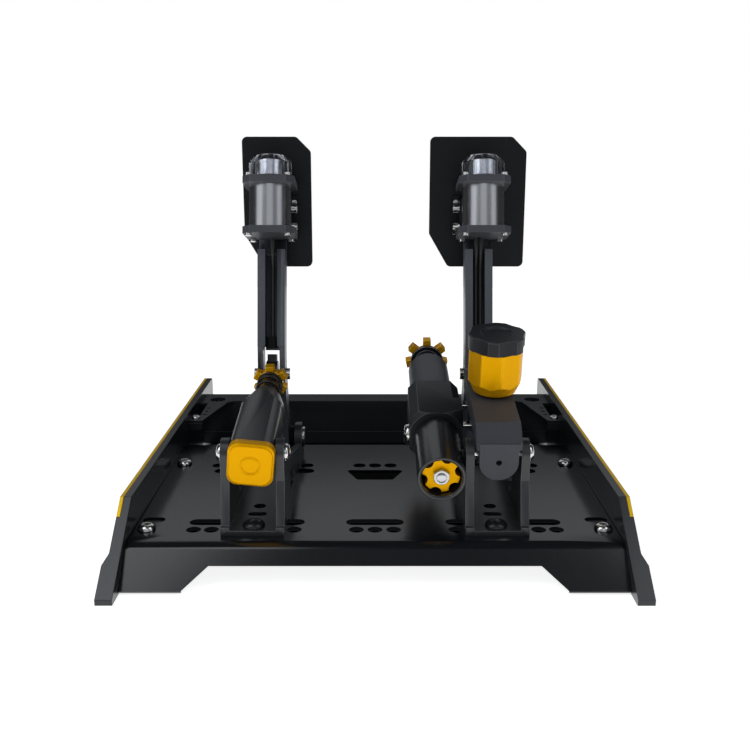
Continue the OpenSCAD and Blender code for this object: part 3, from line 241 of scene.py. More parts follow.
@dataclass(frozen=True)
class HandlingEffect:
    """Marks of handling: soft clouds where hands and cloths have been, and a few small flecks of dust.

    contrast is the factor and the offset from noise to cloud, fleck_scale the flecks' scale against the
    clouds', and fleck_size a fleck's share of its cell.
    """

    name: str = "handling"
    contrast: tuple[float, float] = (2.2, -0.6)
    fleck_scale: float = 9.0
    fleck_size: float = 0.05

    def tree(self) -> bpy.types.NodeTree:
        """Builds the node group once.

        Returns:
            The node group.
        """
        known = bpy.data.node_groups.get(self.name)
        if known:
            return known
        kinds = {"Vector": "NodeSocketVector", "Scale": "NodeSocketFloat"}
        sheet, given = effect(self.name, kinds, ("Cloud", "Fleck"))
        noise = sheet.add("ShaderNodeTexNoise", {**given, "Detail": 4.0, "Distortion": 0.6}).outputs[0]
        cloud = sheet.math("MULTIPLY_ADD", noise, *self.contrast, clamp=True)
        scale = sheet.math("MULTIPLY", given["Scale"], self.fleck_scale)
        cells = sheet.add("ShaderNodeTexVoronoi", {"Vector": given["Vector"], "Scale": scale})
        spot = sheet.math("LESS_THAN", cells.outputs["Distance"], self.fleck_size)
        fleck = sheet.math("MULTIPLY", spot, noise)
        sheet.add("NodeGroupOutput", {"Cloud": cloud, "Fleck": fleck})
        return sheet.tree


GRAIN = GrainEffect()
HANDLING = HandlingEffect()


def new_material(name: str) -> tuple[bpy.types.Material, Sheet]:
    """Starts a material.

    Args:
        name: the material's name.

    Returns:
        The material and its empty sheet.
    """
    made = bpy.data.materials.new(name)
    made.use_nodes = True
    return made, Sheet(made.node_tree)


@dataclass(frozen=True)
class Finish:
    """An opaque finish: colour with a second tone, gloss that swings with handling, and fine grain.

    base and tone are the colour and its second tone, swing is how far handling moves the roughness, grain
    and depth are the grain's size and height, lay is the direction of its lines, cloud is the size of the
    marks of handling, and fleck is the colour of dust.
    """

    name: str
    base: Rgb
    tone: Rgb
    metallic: float
    roughness: float
    swing: float
    grain: float
    depth: float
    lay: Lay = Lay.EVEN
    cloud: float = 45 * MM
    fleck: Rgb | None = None
    specular: float = 0.5
    grain_share: ClassVar[float] = 0.6
    bump: ClassVar[float] = 0.6

    def material(self) -> bpy.types.Material:
        """Builds the material once.

        Returns:
            The material.
        """
        known = bpy.data.materials.get(self.name)
        if known:
            return known
        made, sheet = new_material(self.name)
        made.diffuse_color = (*self.base, 1.0)
        place = sheet.add("ShaderNodeTexCoord").outputs["Object"]
        lines = {"Vector": place, "Scale": 1.0 / self.grain, "Stretch": self.lay.value}
        grain = sheet.add("ShaderNodeGroup", lines, node_tree=GRAIN.tree()).outputs
        clouds = {"Vector": place, "Scale": 1.0 / self.cloud}
        marks = sheet.add("ShaderNodeGroup", clouds, node_tree=HANDLING.tree()).outputs
        cloud = sheet.math("MULTIPLY", marks["Cloud"], 1.0 - self.grain_share)
        share = sheet.math("MULTIPLY_ADD", grain["Tone"], self.grain_share, cloud)
        colour = sheet.mix(share, self.base, self.tone)
        if self.fleck:
            colour = sheet.mix(marks["Fleck"], colour, self.fleck)
        least = self.roughness - self.swing / 2
        relief = {"Strength": self.bump, "Distance": self.depth, "Height": grain["Height"]}
        sheet.close(
            sheet.add(
                "ShaderNodeBsdfPrincipled",
                {
                    "Base Color": colour,
                    "Metallic": self.metallic,
                    "Roughness": sheet.math("MULTIPLY_ADD", share, self.swing, least, clamp=True),
                    "Specular IOR Level": self.specular,
                    "Normal": sheet.add("ShaderNodeBump", relief).outputs[0],
                },
            )
        )
        return made


@dataclass(frozen=True)
class ClearFinish:
    """A clear moulded plastic with faint flow marks in its gloss.

    index is its refractive index, flow the size of the marks, depth their height, swing how far they move the
    roughness and bump how strongly they show.
    """

    name: str
    tint: Rgb
    roughness: float
    index: float
    flow: float = 12 * MM
    depth: float = 0.1 * MM
    swing: float = 0.05
    bump: float = 0.3

    def material(self) -> bpy.types.Material:
        """Builds the material once.

        Returns:
            The material.
        """
        known = bpy.data.materials.get(self.name)
        if known:
            return known
        made, sheet = new_material(self.name)
        clouds = {"Vector": sheet.add("ShaderNodeTexCoord").outputs["Object"], "Scale": 1.0 / self.flow}
        cloud = sheet.add("ShaderNodeGroup", clouds, node_tree=HANDLING.tree()).outputs["Cloud"]
        relief = {"Strength": self.bump, "Distance": self.depth, "Height": cloud}
        sheet.close(
            sheet.add(
                "ShaderNodeBsdfPrincipled",
                {
                    "Base Color": sheet.mix(cloud, self.tint, WHITE),
                    "Roughness": sheet.math("MULTIPLY_ADD", cloud, self.swing, self.roughness),
                    "IOR": self.index,
                    "Transmission Weight": 1.0,
                    "Normal": sheet.add("ShaderNodeBump", relief).outputs[0],
                },
            )
        )
        return made


POWDER_BLACK = Finish(
    "powder_coat_black", (0.0042, 0.0050, 0.0068), (0.0068, 0.0080, 0.0104),
    0.0, 0.19, 0.06, 0.9 * MM, 0.034 * MM, cloud=90 * MM, fleck=(0.03, 0.03, 0.03),
)
PAD_BLACK = Finish(
    "powder_coat_pad", (0.0050, 0.0058, 0.0072), (0.0085, 0.0095, 0.0115),
    0.0, 0.36, 0.06, 0.8 * MM, 0.02 * MM, cloud=60 * MM, specular=0.18,
)
POWDER_MATT = Finish(
    "powder_coat_matt", (0.0130, 0.0145, 0.0175), (0.0190, 0.0210, 0.0250),
    0.0, 0.24, 0.06, 0.6 * MM, 0.015 * MM, cloud=90 * MM,
)
# Painted shade: a near-black, nearly glossless finish for the walls of the plate's holes.
POWDER_HOLE_SHADE = Finish(
    "powder_coat_hole_shade", (0.0020, 0.0022, 0.0028), (0.0035, 0.0038, 0.0046),
    0.0, 0.60, 0.08, 0.6 * MM, 0.02 * MM, specular=0.05,
)
POWDER_EDGE = Finish(
    "powder_coat_edge", (0.012, 0.013, 0.015), (0.018, 0.019, 0.022),
    0.0, 0.30, 0.08, 0.6 * MM, 0.02 * MM,
)
BLACK_ANODISED = Finish(
    "anodised_black", (0.0110, 0.0122, 0.0150), (0.0170, 0.0185, 0.0220),
    0.0, 0.36, 0.08, 0.35 * MM, 0.015 * MM, cloud=60 * MM, specular=0.65,
)
# Painted highlight: a light grey, half-metallic finish on the rounded edges of black anodised parts.
ANODISED_EDGE_HIGHLIGHT = Finish(
    "anodised_black_edge_highlight", (0.15, 0.16, 0.18), (0.20, 0.21, 0.24),
    0.5, 0.30, 0.10, 0.3 * MM, 0.01 * MM,
)
BLACK_SATIN = Finish(
    "anodised_black_satin", (0.0110, 0.0120, 0.0145), (0.0170, 0.0180, 0.0215),
    0.0, 0.40, 0.08, 0.4 * MM, 0.018 * MM, cloud=50 * MM, specular=0.22,
)
BLACK_BLASTED = Finish(
    "anodised_black_blasted", (0.044, 0.046, 0.053), (0.062, 0.065, 0.075),
    0.0, 0.46, 0.08, 0.4 * MM, 0.02 * MM, cloud=40 * MM, specular=0.25,
)
BLACK_GLOSS = Finish(
    "anodised_black_turned", (0.0060, 0.0065, 0.0075), (0.0100, 0.0105, 0.0120),
    0.0, 0.26, 0.08, 0.3 * MM, 0.01 * MM, specular=0.7,
)
ARM_FACE = Finish(
    "anodised_arm", (0.060, 0.066, 0.078), (0.088, 0.096, 0.112),
    0.30, 0.36, 0.10, 0.4 * MM, 0.015 * MM, Lay.ALONG_Z,
)
# Cut edges of the arms in bare metal, made bright and bluish as a painted highlight.
ARM_EDGE_HIGHLIGHT = Finish(
    "cut_arm_edge_highlight", (0.40, 0.47, 0.58), (0.52, 0.59, 0.70),
    0.55, 0.26, 0.08, 0.3 * MM, 0.01 * MM, Lay.ALONG_Z,
)
GOLD = Finish(
    "anodised_gold", (0.80, 0.385, 0.0), (0.85, 0.420, 0.0),
    0.62, 0.46, 0.08, 0.3 * MM, 0.012 * MM, specular=0.08,
)
GOLD_EDGE = Finish(
    "anodised_gold_edge", (0.92, 0.50, 0.02), (0.96, 0.56, 0.05),
    1.0, 0.30, 0.06, 0.3 * MM, 0.01 * MM,
)
GOLD_BRIGHT = Finish(
    "anodised_gold_bright", (0.94, 0.56, 0.010), (0.97, 0.61, 0.02),
    0.50, 0.42, 0.08, 0.3 * MM, 0.012 * MM, specular=0.15,
)
CHROME = Finish(
    "chrome_plate", (0.62, 0.60, 0.58), (0.72, 0.70, 0.68),
    1.0, 0.12, 0.08, 0.4 * MM, 0.01 * MM, cloud=8 * MM,
)
STEEL = Finish(
    "bright_steel", (0.50, 0.50, 0.51), (0.60, 0.60, 0.61),
    1.0, 0.24, 0.10, 0.3 * MM, 0.01 * MM, cloud=15 * MM,
)
GUNMETAL = Finish(
    "gunmetal_can", (0.37, 0.37, 0.385), (0.40, 0.40, 0.415),
    1.0, 0.25, 0.02, 0.5 * MM, 0.0006 * MM, Lay.ALONG_X, cloud=20 * MM,
)
BLACK_STEEL = Finish(
    "black_oxide_steel", (0.012, 0.012, 0.014), (0.022, 0.022, 0.025),
    0.4, 0.28, 0.10, 0.4 * MM, 0.012 * MM, cloud=10 * MM,
)
RUBBER = Finish(
    "lead_jacket", (0.008, 0.008, 0.009), (0.014, 0.014, 0.015),
    0.0, 0.45, 0.12, 0.3 * MM, 0.02 * MM,
)
ELASTOMER = Finish(
    "elastomer_red", (0.32, 0.020, 0.015), (0.40, 0.035, 0.025),
    0.0, 0.55, 0.10, 0.4 * MM, 0.03 * MM,
)
PLASTIC = Finish(
    "moulded_plastic", (0.004, 0.004, 0.0045), (0.007, 0.007, 0.0075),
    0.0, 0.55, 0.10, 0.6 * MM, 0.03 * MM, specular=0.10,
)
PLASTIC_DULL = Finish(
    "moulded_plastic_dull", (0.0020, 0.0020, 0.0022), (0.0035, 0.0035, 0.0038),
    0.0, 0.80, 0.10, 0.6 * MM, 0.03 * MM, specular=0.0,
)
BOARD = Finish(
    "circuit_board", (0.010, 0.075, 0.030), (0.016, 0.105, 0.045),
    0.0, 0.42, 0.08, 1.2 * MM, 0.03 * MM,
)
CLEAR = ClearFinish("clear_cap", (0.86, 0.89, 0.99), 0.03, 1.45)


# ---------------------------------------------------------------------------------------------------------
# Bevelled copies of solids

# Distance at which two points are one, angle in degrees at which two faces are one, steps across an edge.
SAME_POINT = 1e-6
SAME_PLANE = 0.35
EDGE_STEPS = 2


def body_of(node: str) -> str:
    """Name of the body that a solid moves with."""
    return frame["nodes"][node]["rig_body"]


def merged(node: str) -> bpy.types.Mesh:
    """Copies a solid's mesh with its loose triangles merged and its flat faces made whole.

    Args:
        node: the solid's name.

    Returns:
        The copy.
    """
    copy = bmesh.new()
    copy.from_mesh(frame["nodes"][node].data)
    bmesh.ops.remove_doubles(copy, verts=copy.verts, dist=SAME_POINT)
    flat = math.radians(SAME_PLANE)
    bmesh.ops.dissolve_limit(
        copy, angle_limit=flat, verts=copy.verts, edges=copy.edges, use_dissolve_boundaries=False
    )
    mesh = bpy.data.meshes.new(f"{node}_dressed")
    copy.to_mesh(mesh)
    copy.free()
    return mesh


def smooth(mesh: bpy.types.Mesh, sharp: float) -> None:
    """Shades a mesh smooth but for edges past an angle in degrees."""
    mesh.polygons.foreach_set("use_smooth", np.ones(len(mesh.polygons), dtype=bool))
    mesh.set_sharp_from_angle(angle=math.radians(sharp))


def add_object(name: str, data: bpy.types.ID) -> bpy.types.Object:
    """Puts a mesh, a lamp or a camera into the scene as an object.

    Args:
        name: the object's name.
        data: the mesh, lamp or camera.

    Returns:
        The object.
    """
    made = bpy.data.objects.new(name, data)
    bpy.context.scene.collection.objects.link(made)
    return made


def bevel(
    piece: bpy.types.Object, name: str, limit: str, width: float, steps: int
) -> bpy.types.BevelModifier:
    """Adds a bevel to a piece.

    Args:
        piece: the piece.
        name: the modifier's name.
        limit: what picks the edges, ANGLE or WEIGHT.
        width: width of the rounding.
        steps: steps across it.

    Returns:
        The modifier.
    """
    made = piece.modifiers.new(name, "BEVEL")
    made.limit_method = limit
    made.width = width
    made.segments = steps
    made.harden_normals = True
    return made


@dataclass(frozen=True)
class Bend:
    """A sheet's bend along X at a height, rounded by so much to either side."""

    y: float
    z: float
    width: float
    steps: int = 8
    reach: float = 0.3 * MM

    def round_off(self, piece: bpy.types.Object) -> None:
        """Marks the piece's edges within reach of the bend and rounds them.

        Args:
            piece: the piece.
        """
        mesh = piece.data
        points = np.zeros(3 * len(mesh.vertices))
        mesh.vertices.foreach_get("co", points)
        near = np.abs(points.reshape(-1, 3)[:, 1:] - (self.y, self.z)).max(axis=1) < self.reach
        ends = np.zeros(2 * len(mesh.edges), dtype=np.int32)
        mesh.edges.foreach_get("vertices", ends)
        weight = near[ends.reshape(-1, 2)].all(axis=1).astype(np.float32)
        mesh.attributes.new("bevel_weight_edge", "FLOAT", "EDGE").data.foreach_set("value", weight)
        bevel(piece, "bend", "WEIGHT", self.width, self.steps)


def soften(
    node: str,
    face: Finish,
    edge: Finish,
    width: float,
    bend: Bend | None = None,
    crease: float = 28.0,
) -> bpy.types.Object:
    """Replaces a solid by a copy of it with rounded, separately finished edges.

    Args:
        node: the solid's name.
        face: finish of its faces.
        edge: finish of the rounded edges.
        width: width of the rounding.
        bend: a bend that is rounded first.
        crease: angle in degrees past which an edge is rounded.

    Returns:
        The new piece.
    """
    mesh = merged(node)
    smooth(mesh, crease)
    mesh.materials.append(face.material())
    mesh.materials.append(edge.material())
    piece = add_object(f"{node}_dressed", mesh)
    if bend:
        bend.round_off(piece)
    edges = bevel(piece, "rounded_edges", "ANGLE", width, EDGE_STEPS)
    edges.angle_limit = math.radians(crease)
    edges.use_clamp_overlap = True
    edges.material = 1
    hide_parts(node)
    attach(piece, body_of(node))
    LOG.info("%s: bevelled copy", piece.name)
    return piece


def carry_over(node: str, face: Finish) -> None:
    """Leaves a solid as it is and gives it a finish.

    Args:
        node: the solid's name.
        face: its finish.
    """
    data = frame["nodes"][node].data
    data.materials.clear()
    data.materials.append(face.material())
    LOG.info("%s: solid with a finish", node)


# ---------------------------------------------------------------------------------------------------------
# Surfaces

# Broken edge at the end of a pin or a shank, and the least sine that a distance is divided by.
PIN_BREAK = 0.4 * MM
SMALL = 1e-3
UP = (0.0, 0.0, 1.0)
RIGHT = (1.0, 0.0, 0.0)


@dataclass(frozen=True)
class SideFrame:
    """A frame turned in the side view: along runs up the slope, and up stands square to it."""

    x: float
    y: float
    z: float
    slope: float

    def at(self, across: np.ndarray, along: np.ndarray, up: np.ndarray) -> np.ndarray:
        """Finds points in the set's frame from coordinates in this one; the arrays broadcast.

        Args:
            across: distances along X.
            along: distances up the slope.
            up: distances square to it.

        Returns:
            Points, with XYZ on the last axis.
        """
        turn = math.radians(self.slope)
        across, along, up = np.broadcast_arrays(across, along, up)
        return np.stack(
            (
                self.x + across,
                self.y + along * math.cos(turn) - up * math.sin(turn),
                self.z + along * math.sin(turn) + up * math.cos(turn),
            ),
            axis=-1,
        )

    def lying(self, rings: np.ndarray) -> np.ndarray:
        """Rings about the Z axis, laid along the slope."""
        return self.at(rings[..., 0], rings[..., 2], rings[..., 1])

    def along(self) -> np.ndarray:
        """Unit vector up the slope."""
        return self.at(0.0, 1.0, 0.0) - self.at(0.0, 0.0, 0.0)


# The pedals' places along X, and the frames of the strut and the brake unit, the arms and the slave cylinder.
PEDAL_X = {"throttle": -95 * MM, "brake": 95 * MM}
STRUT_SLOPE = 10.0189
ARM_SLOPE = -14.5
STRUT = {name: SideFrame(x, -146 * MM, 90 * MM, STRUT_SLOPE) for name, x in PEDAL_X.items()}
ARM = {name: SideFrame(x, 4 * MM, 116.5 * MM, ARM_SLOPE) for name, x in PEDAL_X.items()}
SLAVE = SideFrame(51 * MM, *STRUT["brake"].at(0.0, -24 * MM, -10.4 * MM)[1:], STRUT_SLOPE)


class Skin:
    """Gathers rings of points into one closed mesh."""

    def __init__(self) -> None:
        """Starts with nothing."""
        self.points: list[np.ndarray] = []
        self.faces: list[list[int]] = []
        self.count = 0

    def tube(self, rings: np.ndarray) -> None:
        """Adds a closed tube: each ring joins the next by quads, and both ends close on their ring's middle.

        Args:
            rings: points as (ring, step round it, XYZ), stepping anticlockwise seen from ahead.
        """
        many, around, _ = rings.shape
        step = np.arange(around)
        after = (step + 1) % around
        self.quads(rings, many - 1)
        ends = np.full(around, many * around)
        last = (many - 1) * around
        near = np.stack((ends, after, step), axis=-1)
        far = np.stack((ends + 1, last + step, last + after), axis=-1)
        self.points.append(np.concatenate((rings.reshape(-1, 3), rings[[0, -1]].mean(axis=1))))
        self.faces.extend((np.concatenate((near, far)) + self.count).tolist())
        self.count += many * around + 2

    def loop(self, rings: np.ndarray) -> None:
        """Adds a closed ring-shaped skin, whose last ring joins its first, as on a bored disc.

        Args:
            rings: points as for tube.
        """
        self.quads(rings, len(rings))
        self.points.append(rings.reshape(-1, 3))
        self.count += rings.shape[0] * rings.shape[1]

    def quads(self, rings: np.ndarray, bands: int) -> None:
        """Adds the quads of bands between neighbouring rings; the first ring follows the last.

        Args:
            rings: points as for tube.
            bands: how many bands, counted from the first ring.
        """
        many, around, _ = rings.shape
        step = np.arange(around)
        after = (step + 1) % around
        band = np.arange(bands)[:, None]
        low, high = band * around, (band + 1) % many * around
        made = np.stack((low + step, low + after, high + after, high + step), axis=-1).reshape(-1, 4)
        self.faces.extend((made + self.count).tolist())

    def piece(
        self,
        name: str,
        finish: Finish | ClearFinish,
        body: str,
        slot: Slot,
        solid: str | None = None,
        sharp: float = 32.0,
    ) -> bpy.types.Object:
        """Makes the mesh a piece that rides on a body.

        Args:
            name: the piece's name.
            finish: its finish.
            body: the body that it rides on.
            slot: the record's material slot; not used.
            solid: the solid that it replaces.
            sharp: angle in degrees past which an edge stays sharp.

        Returns:
            The new piece.
        """
        mesh = bpy.data.meshes.new(name)
        mesh.from_pydata(np.concatenate(self.points).tolist(), [], self.faces)
        smooth(mesh, sharp)
        mesh.materials.append(finish.material())
        made = add_object(name, mesh)
        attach(made, body)
        if solid:
            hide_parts(solid)
        LOG.info("%s: new surface, %d faces", name, len(mesh.polygons))
        return made


def full_turn(around: int) -> np.ndarray:
    """Angles of so many even steps round a circle."""
    return np.linspace(0.0, 2.0 * math.pi, around, endpoint=False)


def turned(rows: Sequence[tuple], around: int, start: float = 0.0) -> np.ndarray:
    """Carries a profile round the Z axis.

    Args:
        rows: (radius, height) of each ring; a radius is a number, or an array with one for each step.
        around: steps round the axis.
        start: angle of the first step.

    Returns:
        Points as (ring, step, XYZ).
    """
    turn = full_turn(around) + start
    radius = np.stack([np.broadcast_to(row[0], around) for row in rows])
    height = np.broadcast_to(np.array([row[1] for row in rows])[:, None], radius.shape)
    return np.stack((radius * np.cos(turn), radius * np.sin(turn), height), axis=-1)


def pin(radius: float, length: float, around: int) -> np.ndarray:
    """Turns a plain pin from height 0 up, with its ends' edges broken.

    Args:
        radius: its radius.
        length: its length.
        around: steps round it.

    Returns:
        Points as (ring, step, XYZ).
    """
    soft = PIN_BREAK
    inset = radius - soft
    return turned([(inset, 0.0), (radius, soft), (radius, length - soft), (inset, length)], around)


def soft_square(half: float, corner: float, turn: np.ndarray) -> np.ndarray:
    """Radius of a square with rounded corners at each angle.

    On a flat it is half over the larger of cosine and sine; past the flat's end it is the far crossing with
    the corner's circle.

    Args:
        half: half the square's width.
        corner: radius of its corners.
        turn: the angles.

    Returns:
        The radius at each angle.
    """
    wide = np.maximum(np.abs(np.cos(turn)), np.abs(np.sin(turn)))
    slim = np.minimum(np.abs(np.cos(turn)), np.abs(np.sin(turn)))
    middle = half - corner
    reach = middle * (wide + slim)
    bent = reach + np.sqrt(np.maximum(reach**2 - 2.0 * middle**2 + corner**2, 0.0))
    return np.where(slim * half <= middle * wide, half / wide, bent)


def hexagon(size: float, around: int) -> np.ndarray:
    """Radius of a hexagon with corners at size: size cos 30 / cos((angle mod 60) - 30)."""
    return size * math.cos(math.pi / 6) / np.cos(np.mod(full_turn(around), math.pi / 3) - math.pi / 6)


def stand(rings: np.ndarray, foot: Sequence[float], axis: Sequence[float]) -> np.ndarray:
    """Turns rings from the Z axis to another axis and moves them to their foot.

    Args:
        rings: points as (ring, step, XYZ).
        foot: where their origin goes.
        axis: where their Z axis points.

    Returns:
        The moved points.
    """
    ahead = np.array(axis, dtype=float) / np.linalg.norm(axis)
    helper = np.array((1.0, 0.0, 0.0)) if abs(ahead[0]) < 0.9 else np.array((0.0, 1.0, 0.0))
    side = np.cross(ahead, helper)
    side /= np.linalg.norm(side)
    return np.array(foot) + rings @ np.stack((side, np.cross(ahead, side), ahead))


@dataclass(frozen=True)
class ButtonScrew:
    """A domed screw: head, shank, a hexagon socket unless key_r is 0, and an optional nut at the shank's end.

    Breaks are the sizes of broken edges, dome_foot is the height at which the dome starts, and rim is the
    dome's top against the socket's size, or tip_r without a socket. key_lip gives the socket's mouth as
    (share of its size, depth), and key_floor its floor as (share of its size, share of the head's height).
    """

    head_r: float
    head_h: float
    shank_r: float
    shank_len: float
    key_r: float
    nut_r: float = 0.0
    nut_h: float = 0.0
    around: ClassVar[int] = 48
    nut_break: ClassVar[tuple[float, float]] = (0.96, 0.3 * MM)
    head_break: ClassVar[tuple[float, float]] = (0.3 * MM, 0.25 * MM)
    dome_foot: ClassVar[float] = 0.5 * MM
    dome_steps: ClassVar[np.ndarray] = np.linspace(0.06, 1.0, 9) * math.pi / 2
    rim: ClassVar[float] = 1.16
    tip_r: ClassVar[float] = 0.4 * MM
    key_lip: ClassVar[tuple] = ((1.03, 0.15 * MM), (1.0, 0.5 * MM))
    key_floor: ClassVar[tuple] = ((1.0, 0.4), (0.25, 0.3))

    def rings(self) -> np.ndarray:
        """Turns the screw with its seat at height 0.

        The profile runs up the shank (or the nut, then the shank), out under the head, over a quarter-ellipse
        dome to the socket's rim, then down the hexagon socket.

        Returns:
            Points as (ring, step, XYZ).
        """
        low = -self.shank_len
        if self.nut_r:
            nut = hexagon(self.nut_r, self.around)
            share, rise = self.nut_break
            top = self.nut_h + low
            rows = [(share * nut, low), (nut, rise + low), (nut, top), (self.shank_r, top)]
        else:
            rows = [(self.shank_r - PIN_BREAK, low), (self.shank_r, PIN_BREAK + low)]
        inset, rise = self.head_break
        rows += [(self.shank_r, 0.0), (self.head_r - inset, 0.0), (self.head_r, rise)]
        top = self.rim * self.key_r or self.tip_r
        wide, tall = self.head_r - top, self.head_h - self.dome_foot
        for turn in self.dome_steps:
            rows += [(top + wide * math.cos(turn), self.dome_foot + tall * math.sin(turn))]
        if self.key_r:
            key = hexagon(self.key_r, self.around)
            rows += [(share * key, self.head_h - depth) for share, depth in self.key_lip]
            rows += [(share * key, part * self.head_h) for share, part in self.key_floor]
        return turned(rows, self.around)


def sweep(path: np.ndarray, side: np.ndarray, radius: float, around: int = 16) -> np.ndarray:
    """Rings of a round section carried along a path.

    At each point the section's plane is spanned by side, made square to the path's direction, and by the
    cross product of direction and side.

    Args:
        path: points of the centreline.
        side: a vector at each point, or one for all.
        radius: the section's radius.
        around: steps round the section.

    Returns:
        Points as (ring, step, XYZ).
    """
    ahead = np.gradient(path, axis=0)
    ahead /= np.linalg.norm(ahead, axis=1, keepdims=True)
    side = np.broadcast_to(side, path.shape)
    side = side - (side * ahead).sum(axis=1, keepdims=True) * ahead
    side /= np.linalg.norm(side, axis=1, keepdims=True)
    other = np.cross(ahead, side)
    turn = full_turn(around)[None, :, None]
    return path[:, None] + radius * (np.cos(turn) * side[:, None] + np.sin(turn) * other[:, None])


def through(points: np.ndarray, steps: int) -> np.ndarray:
    """Runs a smooth curve through points: a cubic between each two, sloped by half the neighbours' distance.

    Args:
        points: the points.
        steps: how many points the curve has.

    Returns:
        Points of the curve.
    """
    slope = np.gradient(points, axis=0)
    share = np.linspace(0.0, len(points) - 1.0, steps)
    part = np.minimum(share.astype(int), len(points) - 2)
    t = (share - part)[:, None]
    a, b, u, v = points[part], points[part + 1], slope[part], slope[part + 1]
    return (
        (2 * t**3 - 3 * t**2 + 1) * a + (t**3 - 2 * t**2 + t) * u
        + (3 * t**2 - 2 * t**3) * b + (t**3 - t**2) * v
    )


# ---------------------------------------------------------------------------------------------------------
# Sub-assemblies


@dataclass
class BaseFrame:
    """Bent base plate, side rails with gold trims, heel rest and the controller below.

    wall_tilt is the rise of a face's normal below which it counts as the wall of a hole.
    """

    plate_edge: float = 0.8 * MM
    plate_bend: Bend = Bend(-182.5 * MM, 30 * MM, 5 * MM)
    wall_tilt: float = 0.2
    rail_edge: float = 0.6 * MM
    trim_edge: float = 0.35 * MM
    box_edge: float = 0.5 * MM
    corner_screw: ButtonScrew = ButtonScrew(7.25 * MM, 4.4 * MM, 4 * MM, 7 * MM, 2.9 * MM)
    corner_places: tuple = ((179.5 * MM, -156 * MM, 30 * MM), (179.5 * MM, -2 * MM, 30 * MM))
    heel_screw: ButtonScrew = ButtonScrew(4.5 * MM, 2.5 * MM, 2.5 * MM, 10 * MM, 1.8 * MM)
    heel_place: tuple = (183.7 * MM, 84 * MM, 50 * MM)

    def build(self) -> None:
        """Dresses every piece of the base."""
        self.plate()
        for node in ("heel_rest", "heel_crossbar"):
            soften(node, POWDER_MATT, POWDER_EDGE, self.plate_edge)
        for side in ("left", "right"):
            soften(f"{side}_rail", POWDER_MATT, POWDER_EDGE, self.rail_edge)
            soften(f"{side}_rail_trim", GOLD_BRIGHT, GOLD_EDGE, self.trim_edge)
        self.screws()
        soften("controller_box", PLASTIC_DULL, PLASTIC_DULL, self.box_edge)
        carry_over("controller_board", BOARD)

    def plate(self) -> None:
        """Dresses the base plate, with painted shade as a near-black finish on the walls of its holes."""
        edge, bend = self.plate_edge, self.plate_bend
        data = soften("base_plate", POWDER_BLACK, POWDER_BLACK, edge, bend).data
        data.materials.append(POWDER_HOLE_SHADE.material())
        normals = np.zeros(3 * len(data.polygons))
        data.polygons.foreach_get("normal", normals)
        walls = np.abs(normals.reshape(-1, 3)[:, 2]) < self.wall_tilt
        index = np.where(walls, len(data.materials) - 1, 0).astype(np.int32)
        data.polygons.foreach_set("material_index", index)

    def screws(self) -> None:
        """Sets the plate's corner screws and the heel rest's screws, mirrored left to right."""
        skin = Skin()
        for side in (-1, 1):
            for x, y, z in self.corner_places:
                skin.tube(stand(self.corner_screw.rings(), (side * x, y, z), UP))
            x, y, z = self.heel_place
            skin.tube(stand(self.heel_screw.rings(), (side * x, y, z), UP))
        skin.piece("plate_screws", CHROME, "base", Slot.CHROME, "base_screws")


@dataclass
class PedalBracket:
    """U-shaped brackets with their bolts, pivot pins and the angle sensor.

    trunnion is the Y and Z of the bolts that carry the strut and the brake unit, and half_w is half the
    distance between the seats of two such bolts.
    """

    edge: float = 0.8 * MM
    pin_edge: float = 0.3 * MM
    sensor_edge: float = 0.4 * MM
    floor_bolt: ButtonScrew = ButtonScrew(8.75 * MM, 5 * MM, 5 * MM, 14.5 * MM, 0.0, 8.75 * MM, 8 * MM)
    floor_rows: tuple = (-157 * MM, -5.5 * MM)
    floor_seat: float = 33.5 * MM
    trunnion_bolt: ButtonScrew = ButtonScrew(7.25 * MM, 4 * MM, 4 * MM, 16.75 * MM, 2.9 * MM)
    trunnion: tuple = (-146 * MM, 90 * MM)
    half_w: float = 24.75 * MM
    stud_around: int = 40

    def build(self) -> None:
        """Dresses both brackets and what goes through them."""
        for pedal in PEDAL_X:
            soften(f"{pedal}_bracket", BLACK_ANODISED, ANODISED_EDGE_HIGHLIGHT, self.edge)
            soften(f"{pedal}_pivot_pin", STEEL, STEEL, self.pin_edge)
        self.floor_bolts()
        self.trunnion_bolts()
        soften("throttle_sensor", PLASTIC, PLASTIC, self.sensor_edge)

    def floor_bolts(self) -> None:
        """Sets two bolts with nuts through each bracket's floor and the plate."""
        skin = Skin()
        for x in PEDAL_X.values():
            for y in self.floor_rows:
                skin.tube(stand(self.floor_bolt.rings(), (x, y, self.floor_seat), UP))
        skin.piece("floor_bolts", BLACK_STEEL, "base", Slot.BLACK_STEEL, "bracket_bolts")

    def trunnion_bolts(self) -> None:
        """Sets the bolts that carry strut and brake unit; the fourth is a plain stud behind the slave."""
        skin = Skin()
        y, z = self.trunnion
        left, right = PEDAL_X["throttle"], PEDAL_X["brake"]
        bolt = self.trunnion_bolt
        for x, ahead in ((left - self.half_w, -1), (left + self.half_w, 1), (right + self.half_w, 1)):
            skin.tube(stand(bolt.rings(), (x, y, z), (ahead, 0, 0)))
        stud = pin(bolt.shank_r, bolt.shank_len, self.stud_around)
        skin.tube(stand(stud, (right - self.half_w, y, z), RIGHT))
        skin.piece("carrier_bolts", CHROME, "base", Slot.CHROME, "trunnion_bolts")


